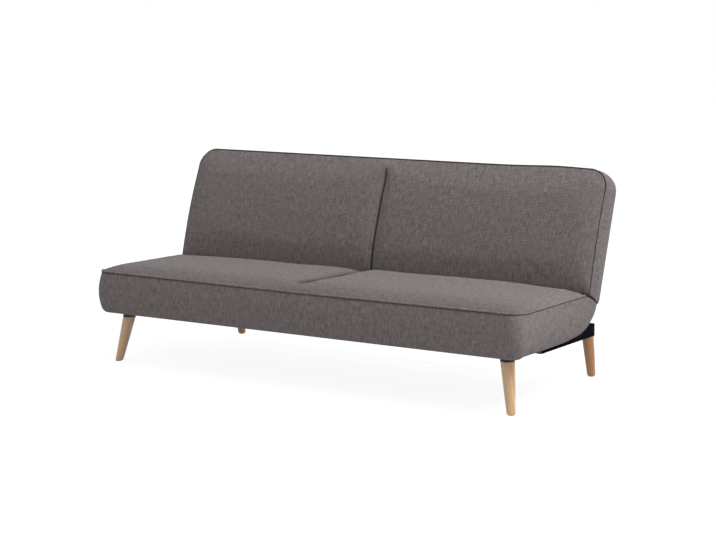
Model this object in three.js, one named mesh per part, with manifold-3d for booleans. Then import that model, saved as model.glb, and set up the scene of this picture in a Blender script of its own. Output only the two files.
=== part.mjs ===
// Click clack sofa bed: an upholstered seat on a steel and timber base, with a backrest
// that drops flat on two ratchet hinges. Millimetres, +X along its length to the right as
// seen from the front, +Y to the rear, +Z up, origin on the floor under the middle.
import * as THREE from 'three';
import { mergeVertices } from 'three/addons/utils/BufferGeometryUtils.js';
import Module from 'manifold-3d';

const wasm = await Module();
wasm.setup();

// Whole sofa
const sofaWidth = 1824;
const contactGap = 0.3;
const cutOverrun = 20;

// Seat cushion, in the side view: y from the front welt, z from the floor
const seatDepth = 496;
const seatTopHeight = 341;
const seatThickness = 145;
const seatCrown = 17;
const seatRearCrown = 23;
const seatFrontBulge = 6;
const seatEndBulge = 12;
const seatPlanCornerRadius = 56;
const seatEdgeRadius = 16;
const seatCrownFade = 250;
const seatRearDrop = 6;
const tuckValleyDepth = 14;
const tuckValleyHalfWidth = 42;
const tailDepth = 58;
const tailDrop = 44;
const tailLength = 156;
const tailNoseHeight = 9;

// Backrest, in its own frame: y through its thickness, z up its face
const backTiltDegrees = 18.3;
const backLength = 437;
const backThickness = 76;
const backCrown = 15;
const backWeltBow = 8;
const backCornerRadius = 80;
const backEdgeRadius = 7;
const backEndBulge = 9;
const backCrownFade = 140;
const backSeamDepth = 11;
const backSeamHalfWidth = 45;

// Click clack hinge
const hingeForwardTripDegrees = 7;
const ratchetRadius = 30;
const ratchetHubRadius = 21;
const ratchetNotchDepth = 6;
const ratchetNotchHalfAngleDegrees = 8;
const ratchetNotchAnglesDegrees = [-60, -24, 11.7];
const ratchetSectorDegrees = [-82, 30];
const pawlAngleDegrees = -60;
const pawlRimGap = 0.5;
const pawlLength = 40;
const pawlBossRadius = 10;
const pawlNoseWidth = 7;
const pawlHookLength = 8;
const pawlHookRelief = 2;
const hingeSteel = 5;
const pivotBoltRadius = 5;
const pawlPinRadius = 4;
const boltHeadRadius = 9;
const boltHeadThickness = 4;
const hingeSlotMargin = 3;
const armReach = 240;
const plateFootLength = 110;
const plateFootHeight = 40;
const plateLeanDegrees = 20;

// Upholstery build-up
const coverWall = 10;
const coverLip = 45;
const linerThickness = 2;
const foamHeight = 78;
const backFoamThickness = 24;
const strapThickness = 2;
const strapWidth = 60;
const strapCount = 3;

// Timber frames
const timberWidth = 25;
const timberHeight = 48;
const frameSetback = 36;
const backBoardThickness = 13;
const backBoardHeight = 60;

// Zigzag seat springs
const springWire = 4;
const springWidth = 52;
const springPitch = 46;
const springPlaces = 3;

// Steel base
const railWidth = 25;
const railHeight = 45;
const railWall = 2;
const railSeatGap = 1;
const railInset = 118;
const railForwardReach = 165;
const railRearReach = 217;
const capFlange = 3;
const capPlug = 6;
const crossTubeHeight = 20;
const crossTubeDepth = 30;
const crossTubeFrontInset = 20;
const crossTubeRearInset = 73;
const legPlateSize = 72;
const legPlateThickness = 4;
const legCollarRadius = 28;
const legCollarHeight = 7;
const legBoltRadius = 4;
const legBoltReach = 28;

// Wooden legs: centres of the top and foot circles
const legTopRadius = 25;
const rearLegTopRadius = 21.5;
const legFootRadius = 15;
const legChamfer = 1.5;
const glideRadius = 11;
const glideHeight = 3;
const frontFootInset = 62;
const frontFootSetback = 47;
const frontLegSplay = 33;
const frontLegRake = 32;
const rearFootInset = 122;
const rearFootOverhang = 12;
const rearLegSplay = 3;
const rearLegRake = 24;

// Facets
const roundSides = 20;
const legSides = 18;
const cornerSteps = 5;

const halfWidth = sofaWidth / 2;
const seatBottomHeight = seatTopHeight - seatThickness;
const backTilt = THREE.MathUtils.degToRad(backTiltDegrees);
const creviceY = seatDepth;
const creviceZ = seatTopHeight;
const mitreY = creviceY + tailDepth;
const mitreZ = creviceZ - tailDrop;
const railTopHeight = seatBottomHeight - railSeatGap;
const railOffset = halfWidth - railInset;
const railFront = creviceY - railForwardReach;
const railRear = creviceY + railRearReach;
const frontFootOffset = halfWidth - frontFootInset;
const rearFootOffset = halfWidth - rearFootInset;
const rearFootSetback = railRear + rearFootOverhang;

// The pivot is as far below the seat top as behind the backrest face, so they end up level,
// and square to the mitre's low end, so that the backrest turns clear of the seat.
const pivotLean = (1 - Math.sin(backTilt)) / Math.cos(backTilt);
const pivotDrop = (tailDepth ** 2 + tailDrop ** 2) / (pivotLean * tailDepth + tailDrop);
const pivotZ = creviceZ - pivotDrop;
const pivotY = creviceY + pivotDrop * pivotLean;

// The pawl's nose lies on the rim and its pin square to it, so the rim pushes it end on.
const rimAngle = THREE.MathUtils.degToRad(pawlAngleDegrees);
const noseReach = ratchetRadius + pawlRimGap;
const noseY = pivotY + noseReach * Math.cos(rimAngle);
const noseZ = pivotZ + noseReach * Math.sin(rimAngle);
const pinY = noseY + pawlLength * Math.sin(rimAngle);
const pinZ = noseZ - pawlLength * Math.cos(rimAngle);

const materials = {
  fabric: { color: 0x6b635f, roughness: 0.95, metalness: 0 },
  lining: { color: 0x1c1c1e, roughness: 0.95, metalness: 0 },
  foam: { color: 0xe6dcc0, roughness: 0.9, metalness: 0 },
  beech: { color: 0xc5a784, roughness: 0.45, metalness: 0 },
  pine: { color: 0xd8bb8a, roughness: 0.7, metalness: 0 },
  blackSteel: { color: 0x17181a, roughness: 0.45, metalness: 0.6 },
  zincSteel: { color: 0x9fa2a6, roughness: 0.35, metalness: 0.9 },
  webbing: { color: 0x4a4036, roughness: 0.95, metalness: 0 },
  blackPlastic: { color: 0x141415, roughness: 0.55, metalness: 0 },
  nylon: { color: 0xc9b08e, roughness: 0.5, metalness: 0 },
};

// Mesh helpers

function addPiece(parent, name, finish, geometry) {
  const mesh = new THREE.Mesh(geometry, new THREE.MeshStandardMaterial(materials[finish]));
  mesh.name = name;
  parent.add(mesh);
  return mesh;
}

function closedMesh(vertices, triangles) {
  let volume = 0;
  for (const [a, b, c] of triangles) {
    volume += vertices[a].dot(new THREE.Vector3().crossVectors(vertices[b], vertices[c]));
  }
  const index = triangles.flatMap(([a, b, c]) => (volume < 0 ? [a, c, b] : [a, b, c]));
  const geometry = new THREE.BufferGeometry();
  geometry.setFromPoints(vertices);
  geometry.setIndex(index);
  geometry.computeVertexNormals();
  return geometry;
}

// Skin over a row of rings with equal point counts, closed by a fan to a point at each end
function loft(rings, startTip, endTip) {
  const count = rings[0].length;
  const vertices = rings.flat();
  const triangles = [];
  for (let r = 0; r + 1 < rings.length; r += 1) {
    for (let k = 0; k < count; k += 1) {
      const next = (k + 1) % count;
      const a = r * count + k;
      const b = r * count + next;
      triangles.push([a, b, b + count], [a, b + count, a + count]);
    }
  }
  const last = (rings.length - 1) * count;
  const startIndex = vertices.push(startTip) - 1;
  const endIndex = vertices.push(endTip) - 1;
  for (let k = 0; k < count; k += 1) {
    const next = (k + 1) % count;
    triangles.push([k, startIndex, next], [last + k, last + next, endIndex]);
  }
  return closedMesh(vertices, triangles);
}

function solidOf(geometry) {
  const bare = geometry.clone();
  bare.deleteAttribute('normal');
  bare.deleteAttribute('uv');
  const merged = mergeVertices(bare);
  return new wasm.Manifold(new wasm.Mesh({
    numProp: 3,
    vertProperties: new Float32Array(merged.attributes.position.array),
    triVerts: new Uint32Array(merged.index.array),
  }));
}

function geometryOf(solid) {
  const mesh = solid.getMesh();
  const geometry = new THREE.BufferGeometry();
  geometry.setAttribute('position', new THREE.BufferAttribute(new Float32Array(mesh.vertProperties), mesh.numProp));
  geometry.setIndex([...mesh.triVerts]);
  geometry.computeVertexNormals();
  return geometry;
}

function cutAway(geometry, ...cutters) {
  return geometryOf(cutters.reduce((solid, cutter) => solid.subtract(solidOf(cutter)), solidOf(geometry)));
}

function overlapOf(first, second) {
  return geometryOf(solidOf(first).intersect(solidOf(second)));
}

function joined(first, second) {
  return geometryOf(solidOf(first).add(solidOf(second)));
}

function slab(x0, x1, y0, y1, z0, z1) {
  const geometry = new THREE.BoxGeometry(Math.abs(x1 - x0), y1 - y0, z1 - z0);
  return geometry.translate((x0 + x1) / 2, (y0 + y1) / 2, (z0 + z1) / 2);
}

function extruded(points, depth) {
  const outline = new THREE.Shape(points.map(([u, v]) => new THREE.Vector2(u, v)));
  return new THREE.ExtrudeGeometry(outline, { depth, bevelEnabled: false, steps: 1 });
}

// An outline of [y, z] points carried along x
function prismAlongX(points, x0, x1) {
  const low = Math.min(x0, x1);
  const turn = new THREE.Matrix4().makeBasis(
    new THREE.Vector3(0, 1, 0), new THREE.Vector3(0, 0, 1), new THREE.Vector3(1, 0, 0));
  return extruded(points, Math.abs(x1 - x0)).applyMatrix4(turn).translate(low, 0, 0);
}

// An outline of [x, z] points carried along y
function prismAlongY(points, y0, y1) {
  return extruded(points, y1 - y0).rotateX(Math.PI / 2).translate(0, y1, 0);
}

// An outline of [x, y] points carried along z
function prismAlongZ(points, z0, z1) {
  return extruded(points, z1 - z0).translate(0, 0, z0);
}

function rodAlongX(y, z, radius, x0, x1) {
  const geometry = new THREE.CylinderGeometry(radius, radius, Math.abs(x1 - x0), roundSides);
  return geometry.rotateZ(Math.PI / 2).translate((x0 + x1) / 2, y, z);
}

function rodAlongZ(x, y, radius, z0, z1) {
  const geometry = new THREE.CylinderGeometry(radius, radius, z1 - z0, roundSides);
  return geometry.rotateX(Math.PI / 2).translate(x, y, (z0 + z1) / 2);
}

// A bolt with a head at both ends, across the stack from x0 to x1
function clampedBolt(y, z, radius, x0, x1) {
  const outer = Math.max(x0, x1) + contactGap;
  const inner = Math.min(x0, x1) - contactGap;
  const shank = rodAlongX(y, z, radius, inner - boltHeadThickness, outer + boltHeadThickness);
  const head = rodAlongX(y, z, boltHeadRadius, outer, outer + boltHeadThickness);
  const nut = rodAlongX(y, z, boltHeadRadius, inner - boltHeadThickness, inner);
  return joined(joined(shank, head), nut);
}

// How far a rounded corner has drawn back at a distance from its end
function cornerRetreat(distance, radius) {
  if (distance >= radius) return 0;
  const reach = radius - Math.max(distance, 0);
  return radius - Math.sqrt(radius * radius - reach * reach);
}

function arcPoints(centre, radius, startAngle, endAngle, steps) {
  const points = [];
  for (let k = 0; k <= steps; k += 1) {
    const angle = startAngle + (endAngle - startAngle) * k / steps;
    points.push([centre[0] + radius * Math.cos(angle), centre[1] + radius * Math.sin(angle)]);
  }
  return points;
}

// Seat upholstery

const weltCurveShares = [0, 0.035, 0.11, 0.25, 0.46, 0.7, 0.88, 0.95, 0.985];
const tailShares = [[0.28, 0.09], [0.55, 0.25], [0.75, 0.48], [0.92, 0.8]];
const frontFaceShares = [0.3, 0.6];
const edgeArcShares = [0, 0.4, 1];
const valleyDeepening = 1.5;
const rearCrownPower = 9;
const valleyEndShare = 0.08;

const tailStart = creviceY - tailLength;
const tailEndZ = mitreZ - tailNoseHeight;

function rounded(share) {
  return 1 - Math.abs(2 * share - 1) ** 3;
}

// The seat's crown is low along the front welt and stands full against the backrest.
function seatCrownAt(x, share) {
  const fade = Math.min((halfWidth - Math.abs(x)) / seatCrownFade, 1);
  const height = seatCrown + (seatRearCrown - seatCrown) * share;
  const fullness = share < 1 / 2 ? rounded(share) : 1 - (2 * share - 1) ** rearCrownPower;
  const deepening = share ** valleyDeepening * Math.min(1, (1 - share) / valleyEndShare);
  const valley = tuckValleyDepth * deepening * Math.exp(-((x / tuckValleyHalfWidth) ** 2));
  return height * fullness * (1 - (1 - fade) ** 2) - valley;
}

// The seat's side view at one place along its width, inset for what goes inside it
function seatRing(x) {
  const end = halfWidth - seatEndBulge - Math.abs(x);
  const front = cornerRetreat(end, seatPlanCornerRadius);
  const lift = cornerRetreat(end, seatEdgeRadius);
  const bottom = seatBottomHeight + lift;
  const top = creviceZ;
  const side = top - bottom - seatEdgeRadius;
  const ring = [];
  for (const share of frontFaceShares) {
    const bulge = seatFrontBulge * Math.sin(Math.PI * share);
    ring.push(new THREE.Vector3(x, front - bulge, top - side * share));
  }
  for (const share of edgeArcShares) {
    const angle = Math.PI / 2 * share;
    ring.push(new THREE.Vector3(x, front + seatEdgeRadius * (1 - Math.cos(angle)),
      bottom + seatEdgeRadius * (1 - Math.sin(angle))));
  }
  const tailRun = mitreY - tailStart;
  const tailRise = tailEndZ - bottom;
  ring.push(new THREE.Vector3(x, tailStart, bottom));
  for (const [along, up] of tailShares) {
    ring.push(new THREE.Vector3(x, tailStart + tailRun * along, bottom + tailRise * up));
  }
  for (const [y, z] of seatMitre()) ring.push(new THREE.Vector3(x, y, z));
  for (const share of [...weltCurveShares].reverse()) {
    const y = front + (creviceY - seatRearDrop - front) * share;
    ring.push(new THREE.Vector3(x, y, top + seatCrownAt(x, share)));
  }
  return ring;
}

// The seat's rear face: the backrest's mitre turned forward about the pivot for the trip travel
function seatMitre() {
  const turn = THREE.MathUtils.degToRad(hingeForwardTripDegrees);
  return [[mitreY, mitreZ], [creviceY, creviceZ]].map(([y, z]) => {
    const dy = y - pivotY;
    const dz = z - pivotZ;
    return [pivotY + dy * Math.cos(turn) - dz * Math.sin(turn),
      pivotZ + dy * Math.sin(turn) + dz * Math.cos(turn)];
  });
}

const endStationShares = [0, 0.05, 0.2, 0.45, 0.75, 1];
const spanStationShares = [0.06, 0.11, 0.18, 0.34, 0.54, 0.74];
const stationCrowding = 1.3;

// Places along the width, from one end to the other, closer together at the ends
function stations(endBulge, cornerRadius) {
  const reach = halfWidth - endBulge;
  const half = endStationShares.map((share) => reach - cornerRadius * share ** stationCrowding);
  const inner = reach - cornerRadius;
  for (const share of [...spanStationShares].reverse()) half.push(inner * share);
  half.push(0);
  return [...half.map((x) => -x), ...half.slice(0, -1).reverse()];
}

function endTip(ring, bulge) {
  const tip = new THREE.Vector3();
  for (const point of ring) tip.add(point);
  tip.divideScalar(ring.length);
  tip.x += Math.sign(tip.x) * bulge;
  return tip;
}

function cushion(ringAt, endBulge, cornerRadius) {
  const rings = stations(endBulge, cornerRadius).map((x) => ringAt(x));
  return loft(rings, endTip(rings[0], endBulge), endTip(rings[rings.length - 1], endBulge));
}

// The room inside the seat cover, left for foam and frame, drawn in by an inset
function seatRoom(inset) {
  const wall = coverWall + inset;
  const bottom = seatBottomHeight + coverWall / 2 + inset;
  const [tailEnd, crevice] = seatMitre();
  const tailRun = mitreY - tailStart;
  const tailRise = tailEndZ - seatBottomHeight;
  const tail = tailShares.map(([along, up]) => [
    tailStart + tailRun * along - wall, seatBottomHeight + tailRise * up + wall]);
  const side = [
    [wall, bottom], [tailStart - wall, bottom], ...tail.filter(([y]) => y < tailEnd[0] - wall * 3),
    [tailEnd[0] - wall * 3, tailEnd[1] - inset], [crevice[0] - wall, crevice[1] - wall / 2],
    [wall, crevice[1] - wall / 2],
  ];
  const reach = halfWidth - seatEndBulge - wall;
  const radius = seatPlanCornerRadius - wall;
  const low = wall;
  const plan = [
    ...arcPoints([-reach + radius, low + radius], radius, Math.PI, Math.PI * 1.5, cornerSteps),
    ...arcPoints([reach - radius, low + radius], radius, Math.PI * 1.5, Math.PI * 2, cornerSteps),
    [reach, mitreY], [-reach, mitreY],
  ];
  return overlapOf(prismAlongX(side, -reach, reach),
    prismAlongZ(plan, seatBottomHeight - cutOverrun, creviceZ + cutOverrun));
}

const hingeInner = railOffset + railWidth / 2 + contactGap;
const armInner = hingeInner + hingeSteel + contactGap;
const armOuter = armInner + hingeSteel;
const slotInner = hingeInner - boltHeadThickness - contactGap - hingeSlotMargin;
const slotOuter = armOuter + boltHeadThickness + contactGap + hingeSlotMargin;

// The slot that the hinge works in, at one end of the seat
function seatHingeSlot(side) {
  const reach = ratchetRadius + hingeSlotMargin;
  const front = Math.min(pivotY - reach, pinY - pawlBossRadius - hingeSlotMargin * 2);
  const armFront = pivotY - ratchetHubRadius - hingeSlotMargin;
  const low = seatBottomHeight - cutOverrun;
  const outline = [
    [front, low], [mitreY + cutOverrun, low], [mitreY + cutOverrun, creviceZ],
    [armFront, creviceZ], [armFront, pivotZ + reach], [front, pivotZ + reach],
  ];
  return prismAlongX(outline, side * slotInner, side * slotOuter);
}

const seat = new THREE.Group();
const seatLinerReach = [halfWidth - seatEndBulge - coverLip, coverLip, tailStart - coverLip / 2];
const seatFloor = seatBottomHeight + coverWall / 2 + contactGap;
const frameTop = seatFloor + timberHeight;
const springTop = frameTop + springWire + contactGap;
const foamBottom = springTop + contactGap;

function buildSeatUpholstery() {
  const [reach, front, rear] = seatLinerReach;
  const mouth = slab(-reach, reach, front, rear, seatBottomHeight - cutOverrun, seatFloor + coverWall);
  const cover = cutAway(cushion(seatRing, seatEndBulge, seatPlanCornerRadius),
    seatRoom(0), mouth, seatHingeSlot(1), seatHingeSlot(-1));
  addPiece(seat, 'seat_cover', 'fabric', cover);
  const foamBlock = slab(-halfWidth, halfWidth, 0, mitreY, foamBottom, foamBottom + foamHeight);
  const foam = cutAway(overlapOf(foamBlock, seatRoom(contactGap)), seatHingeSlot(1), seatHingeSlot(-1));
  addPiece(seat, 'seat_foam', 'foam', foam);
  addPiece(seat, 'seat_dust_cover', 'lining', slab(-reach + contactGap, reach - contactGap,
    front + contactGap, rear - contactGap, seatFloor - contactGap - linerThickness, seatFloor - contactGap));
}

// Seat frame: timbers on the cover's turned-in lip, cut to the room inside the cover
const frameFront = coverWall + contactGap * 2;
const frameRear = pivotY - ratchetRadius - hingeSlotMargin - frameSetback;
const bearerOuter = railOffset + railWidth / 2;
const bearerInner = bearerOuter - timberWidth;

function seatTimber(name, x0, x1, y0, y1) {
  const blank = slab(x0, x1, y0, y1, seatFloor, frameTop);
  return addPiece(seat, name, 'pine', overlapOf(blank, seatRoom(contactGap)));
}

function buildSeatFrame() {
  const reach = halfWidth - seatEndBulge - coverWall - contactGap;
  const sideInner = reach - timberWidth;
  const front = frameFront + timberWidth * 2;
  const rear = frameRear - timberWidth;
  seatTimber('seat_frame_front', -reach, reach, frameFront, front);
  seatTimber('seat_frame_rear', -reach, reach, rear, frameRear);
  for (const [side, label] of [[-1, 'left'], [1, 'right']]) {
    seatTimber(`seat_frame_side_${label}`, side * sideInner, side * reach,
      front + contactGap, rear - contactGap);
    seatTimber(`seat_rail_bearer_${label}`, side * bearerInner, side * bearerOuter,
      front + contactGap, rear - contactGap);
  }
  seatTimber('seat_frame_middle', -timberWidth / 2, timberWidth / 2, front + contactGap, rear - contactGap);
}

// A zigzag spring seen from above: a wire that runs along one side, across and along the other
function springOutline(length) {
  const turns = Math.max(2, Math.floor(length / springPitch));
  const step = length / turns;
  const half = springWire / 2;
  const lanes = [[], []];
  for (let k = 0; k < turns; k += 1) {
    const out = k % 2 === 0 ? 1 : -1;
    const start = step * k;
    const outer = out * (springWidth / 2 + half);
    const inner = out * (springWidth / 2 - half);
    const [near, far] = out > 0 ? lanes : [...lanes].reverse();
    near.push([outer, k === 0 ? 0 : start - half], [outer, k === turns - 1 ? length : start + step + half]);
    far.push([inner, k === 0 ? 0 : start + half], [inner, k === turns - 1 ? length : start + step - half]);
  }
  return [...lanes[0], ...lanes[1].reverse()];
}

function buildSeatSprings() {
  const rear = frameRear - timberWidth / 2;
  const front = frameFront + timberWidth;
  const bottom = frameTop + contactGap;
  for (const [side, label] of [[-1, 'left'], [1, 'right']]) {
    for (let k = 0; k < springPlaces; k += 1) {
      const outline = springOutline(rear - front);
      const geometry = prismAlongZ(outline, bottom, bottom + springWire)
        .translate(side * bearerInner * (k + 1 / 2) / springPlaces, front, 0);
      addPiece(seat, `seat_spring_${label}_${k + 1}`, 'zincSteel', geometry);
    }
  }
}

// Steel base with wooden legs

const base = new THREE.Group();
const railBottom = railTopHeight - railHeight;

function railSection(centre, inset) {
  const half = railWidth / 2 - inset;
  return [[centre - half, railBottom + inset], [centre + half, railBottom + inset],
    [centre + half, railTopHeight - inset], [centre - half, railTopHeight - inset]];
}

function buildRail(side, label) {
  const centre = side * railOffset;
  const tube = prismAlongY(railSection(centre, 0), railFront, railRear);
  const bore = prismAlongY(railSection(centre, railWall), railFront - cutOverrun, railRear + cutOverrun);
  const legY = rearFootSetback - rearLegRake;
  const boltHole = rodAlongZ(side * (rearFootOffset - rearLegSplay), legY, legBoltRadius + contactGap,
    railBottom - cutOverrun, railBottom + railHeight / 2);
  addPiece(base, `base_rail_${label}`, 'blackSteel', cutAway(tube, bore, boltHole));
  for (const [end, y, out] of [['front', railFront, -1], ['rear', railRear, 1]]) {
    const face = y + out * contactGap;
    const flange = prismAlongY(railSection(centre, 0), Math.min(face, face + out * capFlange),
      Math.max(face, face + out * capFlange));
    const inside = y - out * capPlug;
    const plug = prismAlongY(railSection(centre, railWall + contactGap),
      Math.min(face + out * capFlange / 2, inside), Math.max(face + out * capFlange / 2, inside));
    addPiece(base, `rail_cap_${end}_${label}`, 'blackPlastic', joined(flange, plug));
  }
}

function buildCrossTube(label, y) {
  const reach = railOffset - railWidth / 2 - contactGap;
  const middle = railBottom + railHeight / 2;
  addPiece(base, `cross_tube_${label}`, 'blackSteel', slab(-reach, reach, y, y + crossTubeDepth,
    middle - crossTubeHeight / 2, middle + crossTubeHeight / 2));
}

// A leg with level ends whose foot stands out from under its top
function legSolid(top, foot, topRadius, topHeight) {
  const heights = [[glideHeight + contactGap, legFootRadius - legChamfer],
    [glideHeight + contactGap + legChamfer, legFootRadius], [topHeight, topRadius]];
  const rings = heights.map(([z, radius]) => {
    const share = (z - glideHeight) / (topHeight - glideHeight);
    const x = foot[0] + (top[0] - foot[0]) * share;
    const y = foot[1] + (top[1] - foot[1]) * share;
    return arcPoints([x, y], radius, 0, Math.PI * 2, legSides).slice(0, legSides)
      .map(([px, py]) => new THREE.Vector3(px, py, z));
  });
  const low = new THREE.Vector3(foot[0], foot[1], heights[0][0]);
  const high = new THREE.Vector3(top[0], top[1], topHeight);
  return loft(rings, low, high);
}

function buildLeg(label, top, foot, topRadius, topHeight, boltTop) {
  const bore = rodAlongZ(top[0], top[1], legBoltRadius + contactGap,
    topHeight - legBoltReach - contactGap, topHeight + cutOverrun);
  const leg = cutAway(legSolid(top, foot, topRadius, topHeight), bore);
  addPiece(base, `leg_${label}`, 'beech', leg);
  addPiece(base, `leg_bolt_${label}`, 'zincSteel', rodAlongZ(top[0], top[1], legBoltRadius,
    topHeight - legBoltReach, boltTop));
  addPiece(base, `foot_glide_${label}`, 'nylon', rodAlongZ(foot[0], foot[1], glideRadius,
    0, glideHeight));
}

function buildLegs() {
  const plateTop = seatBottomHeight - contactGap;
  const plateBottom = plateTop - legPlateThickness;
  const collarBottom = plateBottom - legCollarHeight;
  for (const [side, label] of [[-1, 'left'], [1, 'right']]) {
    const foot = [side * frontFootOffset, frontFootSetback];
    const top = [side * (frontFootOffset - frontLegSplay), frontFootSetback + frontLegRake];
    const half = legPlateSize / 2;
    const plate = slab(top[0] - half, top[0] + half, top[1] - half, top[1] + half, plateBottom, plateTop);
    const collar = rodAlongZ(top[0], top[1], legCollarRadius, collarBottom, plateTop);
    const hole = rodAlongZ(top[0], top[1], legBoltRadius + contactGap, collarBottom - cutOverrun,
      plateTop + cutOverrun);
    addPiece(base, `leg_plate_${label}`, 'blackSteel', cutAway(joined(plate, collar), hole));
    buildLeg(`front_${label}`, top, foot, legTopRadius, collarBottom - contactGap, plateTop);
    const rearFoot = [side * rearFootOffset, rearFootSetback];
    const rearTop = [side * (rearFootOffset - rearLegSplay), rearFootSetback - rearLegRake];
    buildLeg(`rear_${label}`, rearTop, rearFoot, rearLegTopRadius, railBottom - contactGap,
      railBottom + railWall * 2);
  }
}

// Click clack hinges

function seatPlateOutline() {
  const bottom = railTopHeight - plateFootHeight;
  const footRear = pivotY - ratchetHubRadius / 2;
  const footFront = footRear - plateFootLength;
  const lean = THREE.MathUtils.degToRad(plateLeanDegrees);
  const neckFront = pinY - pawlBossRadius - hingeSlotMargin;
  return [
    [footFront, bottom], [footRear, bottom], [footRear + ratchetHubRadius, railTopHeight],
    ...arcPoints([pivotY, pivotZ], ratchetHubRadius - contactGap, -lean, Math.PI - lean, cornerSteps * 2),
    [neckFront, pinZ], [neckFront, railTopHeight], [footFront, railTopHeight],
  ];
}

// A ratchet arm: notched sector round the pivot and a strap up the backrest frame
function armOutline() {
  const radians = THREE.MathUtils.degToRad;
  const [sectorStart, sectorEnd] = ratchetSectorDegrees.map(radians);
  const half = radians(ratchetNotchHalfAngleDegrees);
  const rim = [];
  const put = (angle, radius) => rim.push([radius * Math.cos(angle), radius * Math.sin(angle)]);
  put(sectorStart, ratchetHubRadius);
  put(sectorStart, ratchetRadius);
  for (const degrees of ratchetNotchAnglesDegrees) {
    const middle = radians(degrees);
    put(middle - half, ratchetRadius);
    put(middle, ratchetRadius - ratchetNotchDepth);
    put(middle + half / 4, ratchetRadius - ratchetNotchDepth);
    put(middle + half / 2, ratchetRadius);
    put(middle + half * 2, ratchetRadius);
  }
  put(sectorEnd, ratchetRadius);
  const turned = rim.map(([y, z]) => [
    armPivotY + y * Math.cos(backTilt) - z * Math.sin(backTilt),
    armPivotZ + y * Math.sin(backTilt) + z * Math.cos(backTilt)]);
  const strapRear = backThickness - coverWall - contactGap;
  const strapFront = timberFront + backBoardThickness + contactGap;
  const hubStart = sectorStart + backTilt + Math.PI * 2;
  const hub = arcPoints([armPivotY, armPivotZ], ratchetHubRadius, Math.PI, hubStart, cornerSteps);
  return [
    ...turned, [strapRear, 0], [strapRear, armReach], [strapFront, armReach],
    [strapFront, 0], ...hub.slice(0, -1),
  ];
}

const backY = new THREE.Vector2(Math.cos(backTilt), -Math.sin(backTilt));
const backZ = new THREE.Vector2(Math.sin(backTilt), Math.cos(backTilt));
const pivotOffset = new THREE.Vector2(pivotY - creviceY, pivotZ - creviceZ);
const armPivotY = pivotOffset.dot(backY);
const armPivotZ = pivotOffset.dot(backZ);

const backrest = new THREE.Group();
backrest.position.set(0, creviceY, creviceZ);
backrest.rotation.x = -backTilt;

function pawlOutline() {
  const direction = Math.atan2(noseZ - pinZ, noseY - pinY);
  const turn = Math.PI / 2;
  const boss = arcPoints([pinY, pinZ], pawlBossRadius, direction + turn, direction + turn * 3, cornerSteps * 2);
  const along = [Math.cos(direction), Math.sin(direction)];
  const across = [Math.cos(direction + turn), Math.sin(direction + turn)];
  return [
    ...boss, [noseY - across[0] * pawlNoseWidth, noseZ - across[1] * pawlNoseWidth], [noseY, noseZ],
    [noseY - along[0] * pawlHookLength - across[0] * pawlHookRelief,
      noseZ - along[1] * pawlHookLength - across[1] * pawlHookRelief],
  ];
}

function buildHinge(side, label) {
  const x0 = side * hingeInner;
  const x1 = side * (hingeInner + hingeSteel);
  const x2 = side * armInner;
  const x3 = side * armOuter;
  const boreStart = side * (hingeInner - cutOverrun);
  const boreEnd = side * (armOuter + cutOverrun);
  const pivotBore = rodAlongX(pivotY, pivotZ, pivotBoltRadius + contactGap, boreStart, boreEnd);
  const pinBore = rodAlongX(pinY, pinZ, pawlPinRadius + contactGap, boreStart, boreEnd);
  const plate = prismAlongX(seatPlateOutline(), x0, x1);
  addPiece(base, `hinge_plate_${label}`, 'blackSteel', cutAway(plate, pivotBore, pinBore));
  addPiece(base, `hinge_pivot_bolt_${label}`, 'zincSteel',
    clampedBolt(pivotY, pivotZ, pivotBoltRadius, x0, x3));
  addPiece(base, `pawl_pin_${label}`, 'zincSteel', clampedBolt(pinY, pinZ, pawlPinRadius, x0, x3));
  addPiece(base, `ratchet_pawl_${label}`, 'blackSteel', cutAway(prismAlongX(pawlOutline(), x2, x3), pinBore));
  const armBore = rodAlongX(armPivotY, armPivotZ, pivotBoltRadius + contactGap, boreStart, boreEnd);
  addPiece(backrest, `hinge_arm_${label}`, 'blackSteel', cutAway(prismAlongX(armOutline(), x2, x3), armBore));
}

// Backrest upholstery and frame, in the backrest's own frame

const faceShares = [0.03, 0.1, 0.24, 0.42, 0.6, 0.78, 0.9, 0.97];
const mitreLocalY = tailDepth * Math.cos(backTilt) + tailDrop * Math.sin(backTilt);
const mitreLocalZ = tailDepth * Math.sin(backTilt) - tailDrop * Math.cos(backTilt);

function backFrontAt(x, share) {
  const fade = Math.min((halfWidth - Math.abs(x)) / backCrownFade, 1);
  const seam = backSeamDepth * Math.exp(-((x / backSeamHalfWidth) ** 2)) * rounded(share);
  const crown = backCrown * (1 - (1 - fade) ** 2) * rounded(share);
  return -(backWeltBow * Math.sin(Math.PI * share) + crown - seam);
}

function backRing(x) {
  const end = halfWidth - backEndBulge - Math.abs(x);
  const top = backLength - cornerRetreat(end, backCornerRadius);
  const ring = [new THREE.Vector3(x, 0, 0)];
  for (const share of faceShares) {
    ring.push(new THREE.Vector3(x, backFrontAt(x, share), top * share));
  }
  ring.push(new THREE.Vector3(x, 0, top));
  const radius = backEdgeRadius;
  for (const share of edgeArcShares) {
    const angle = Math.PI / 2 * share;
    ring.push(new THREE.Vector3(x, backThickness - radius * (1 - Math.sin(angle)),
      top - radius * (1 - Math.cos(angle))));
  }
  ring.push(new THREE.Vector3(x, backThickness, mitreLocalZ + radius));
  ring.push(new THREE.Vector3(x, mitreLocalY, mitreLocalZ));
  return ring;
}

const backRoomFront = coverWall / 2;
const backRoomRear = backThickness - coverWall / 2;

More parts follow.
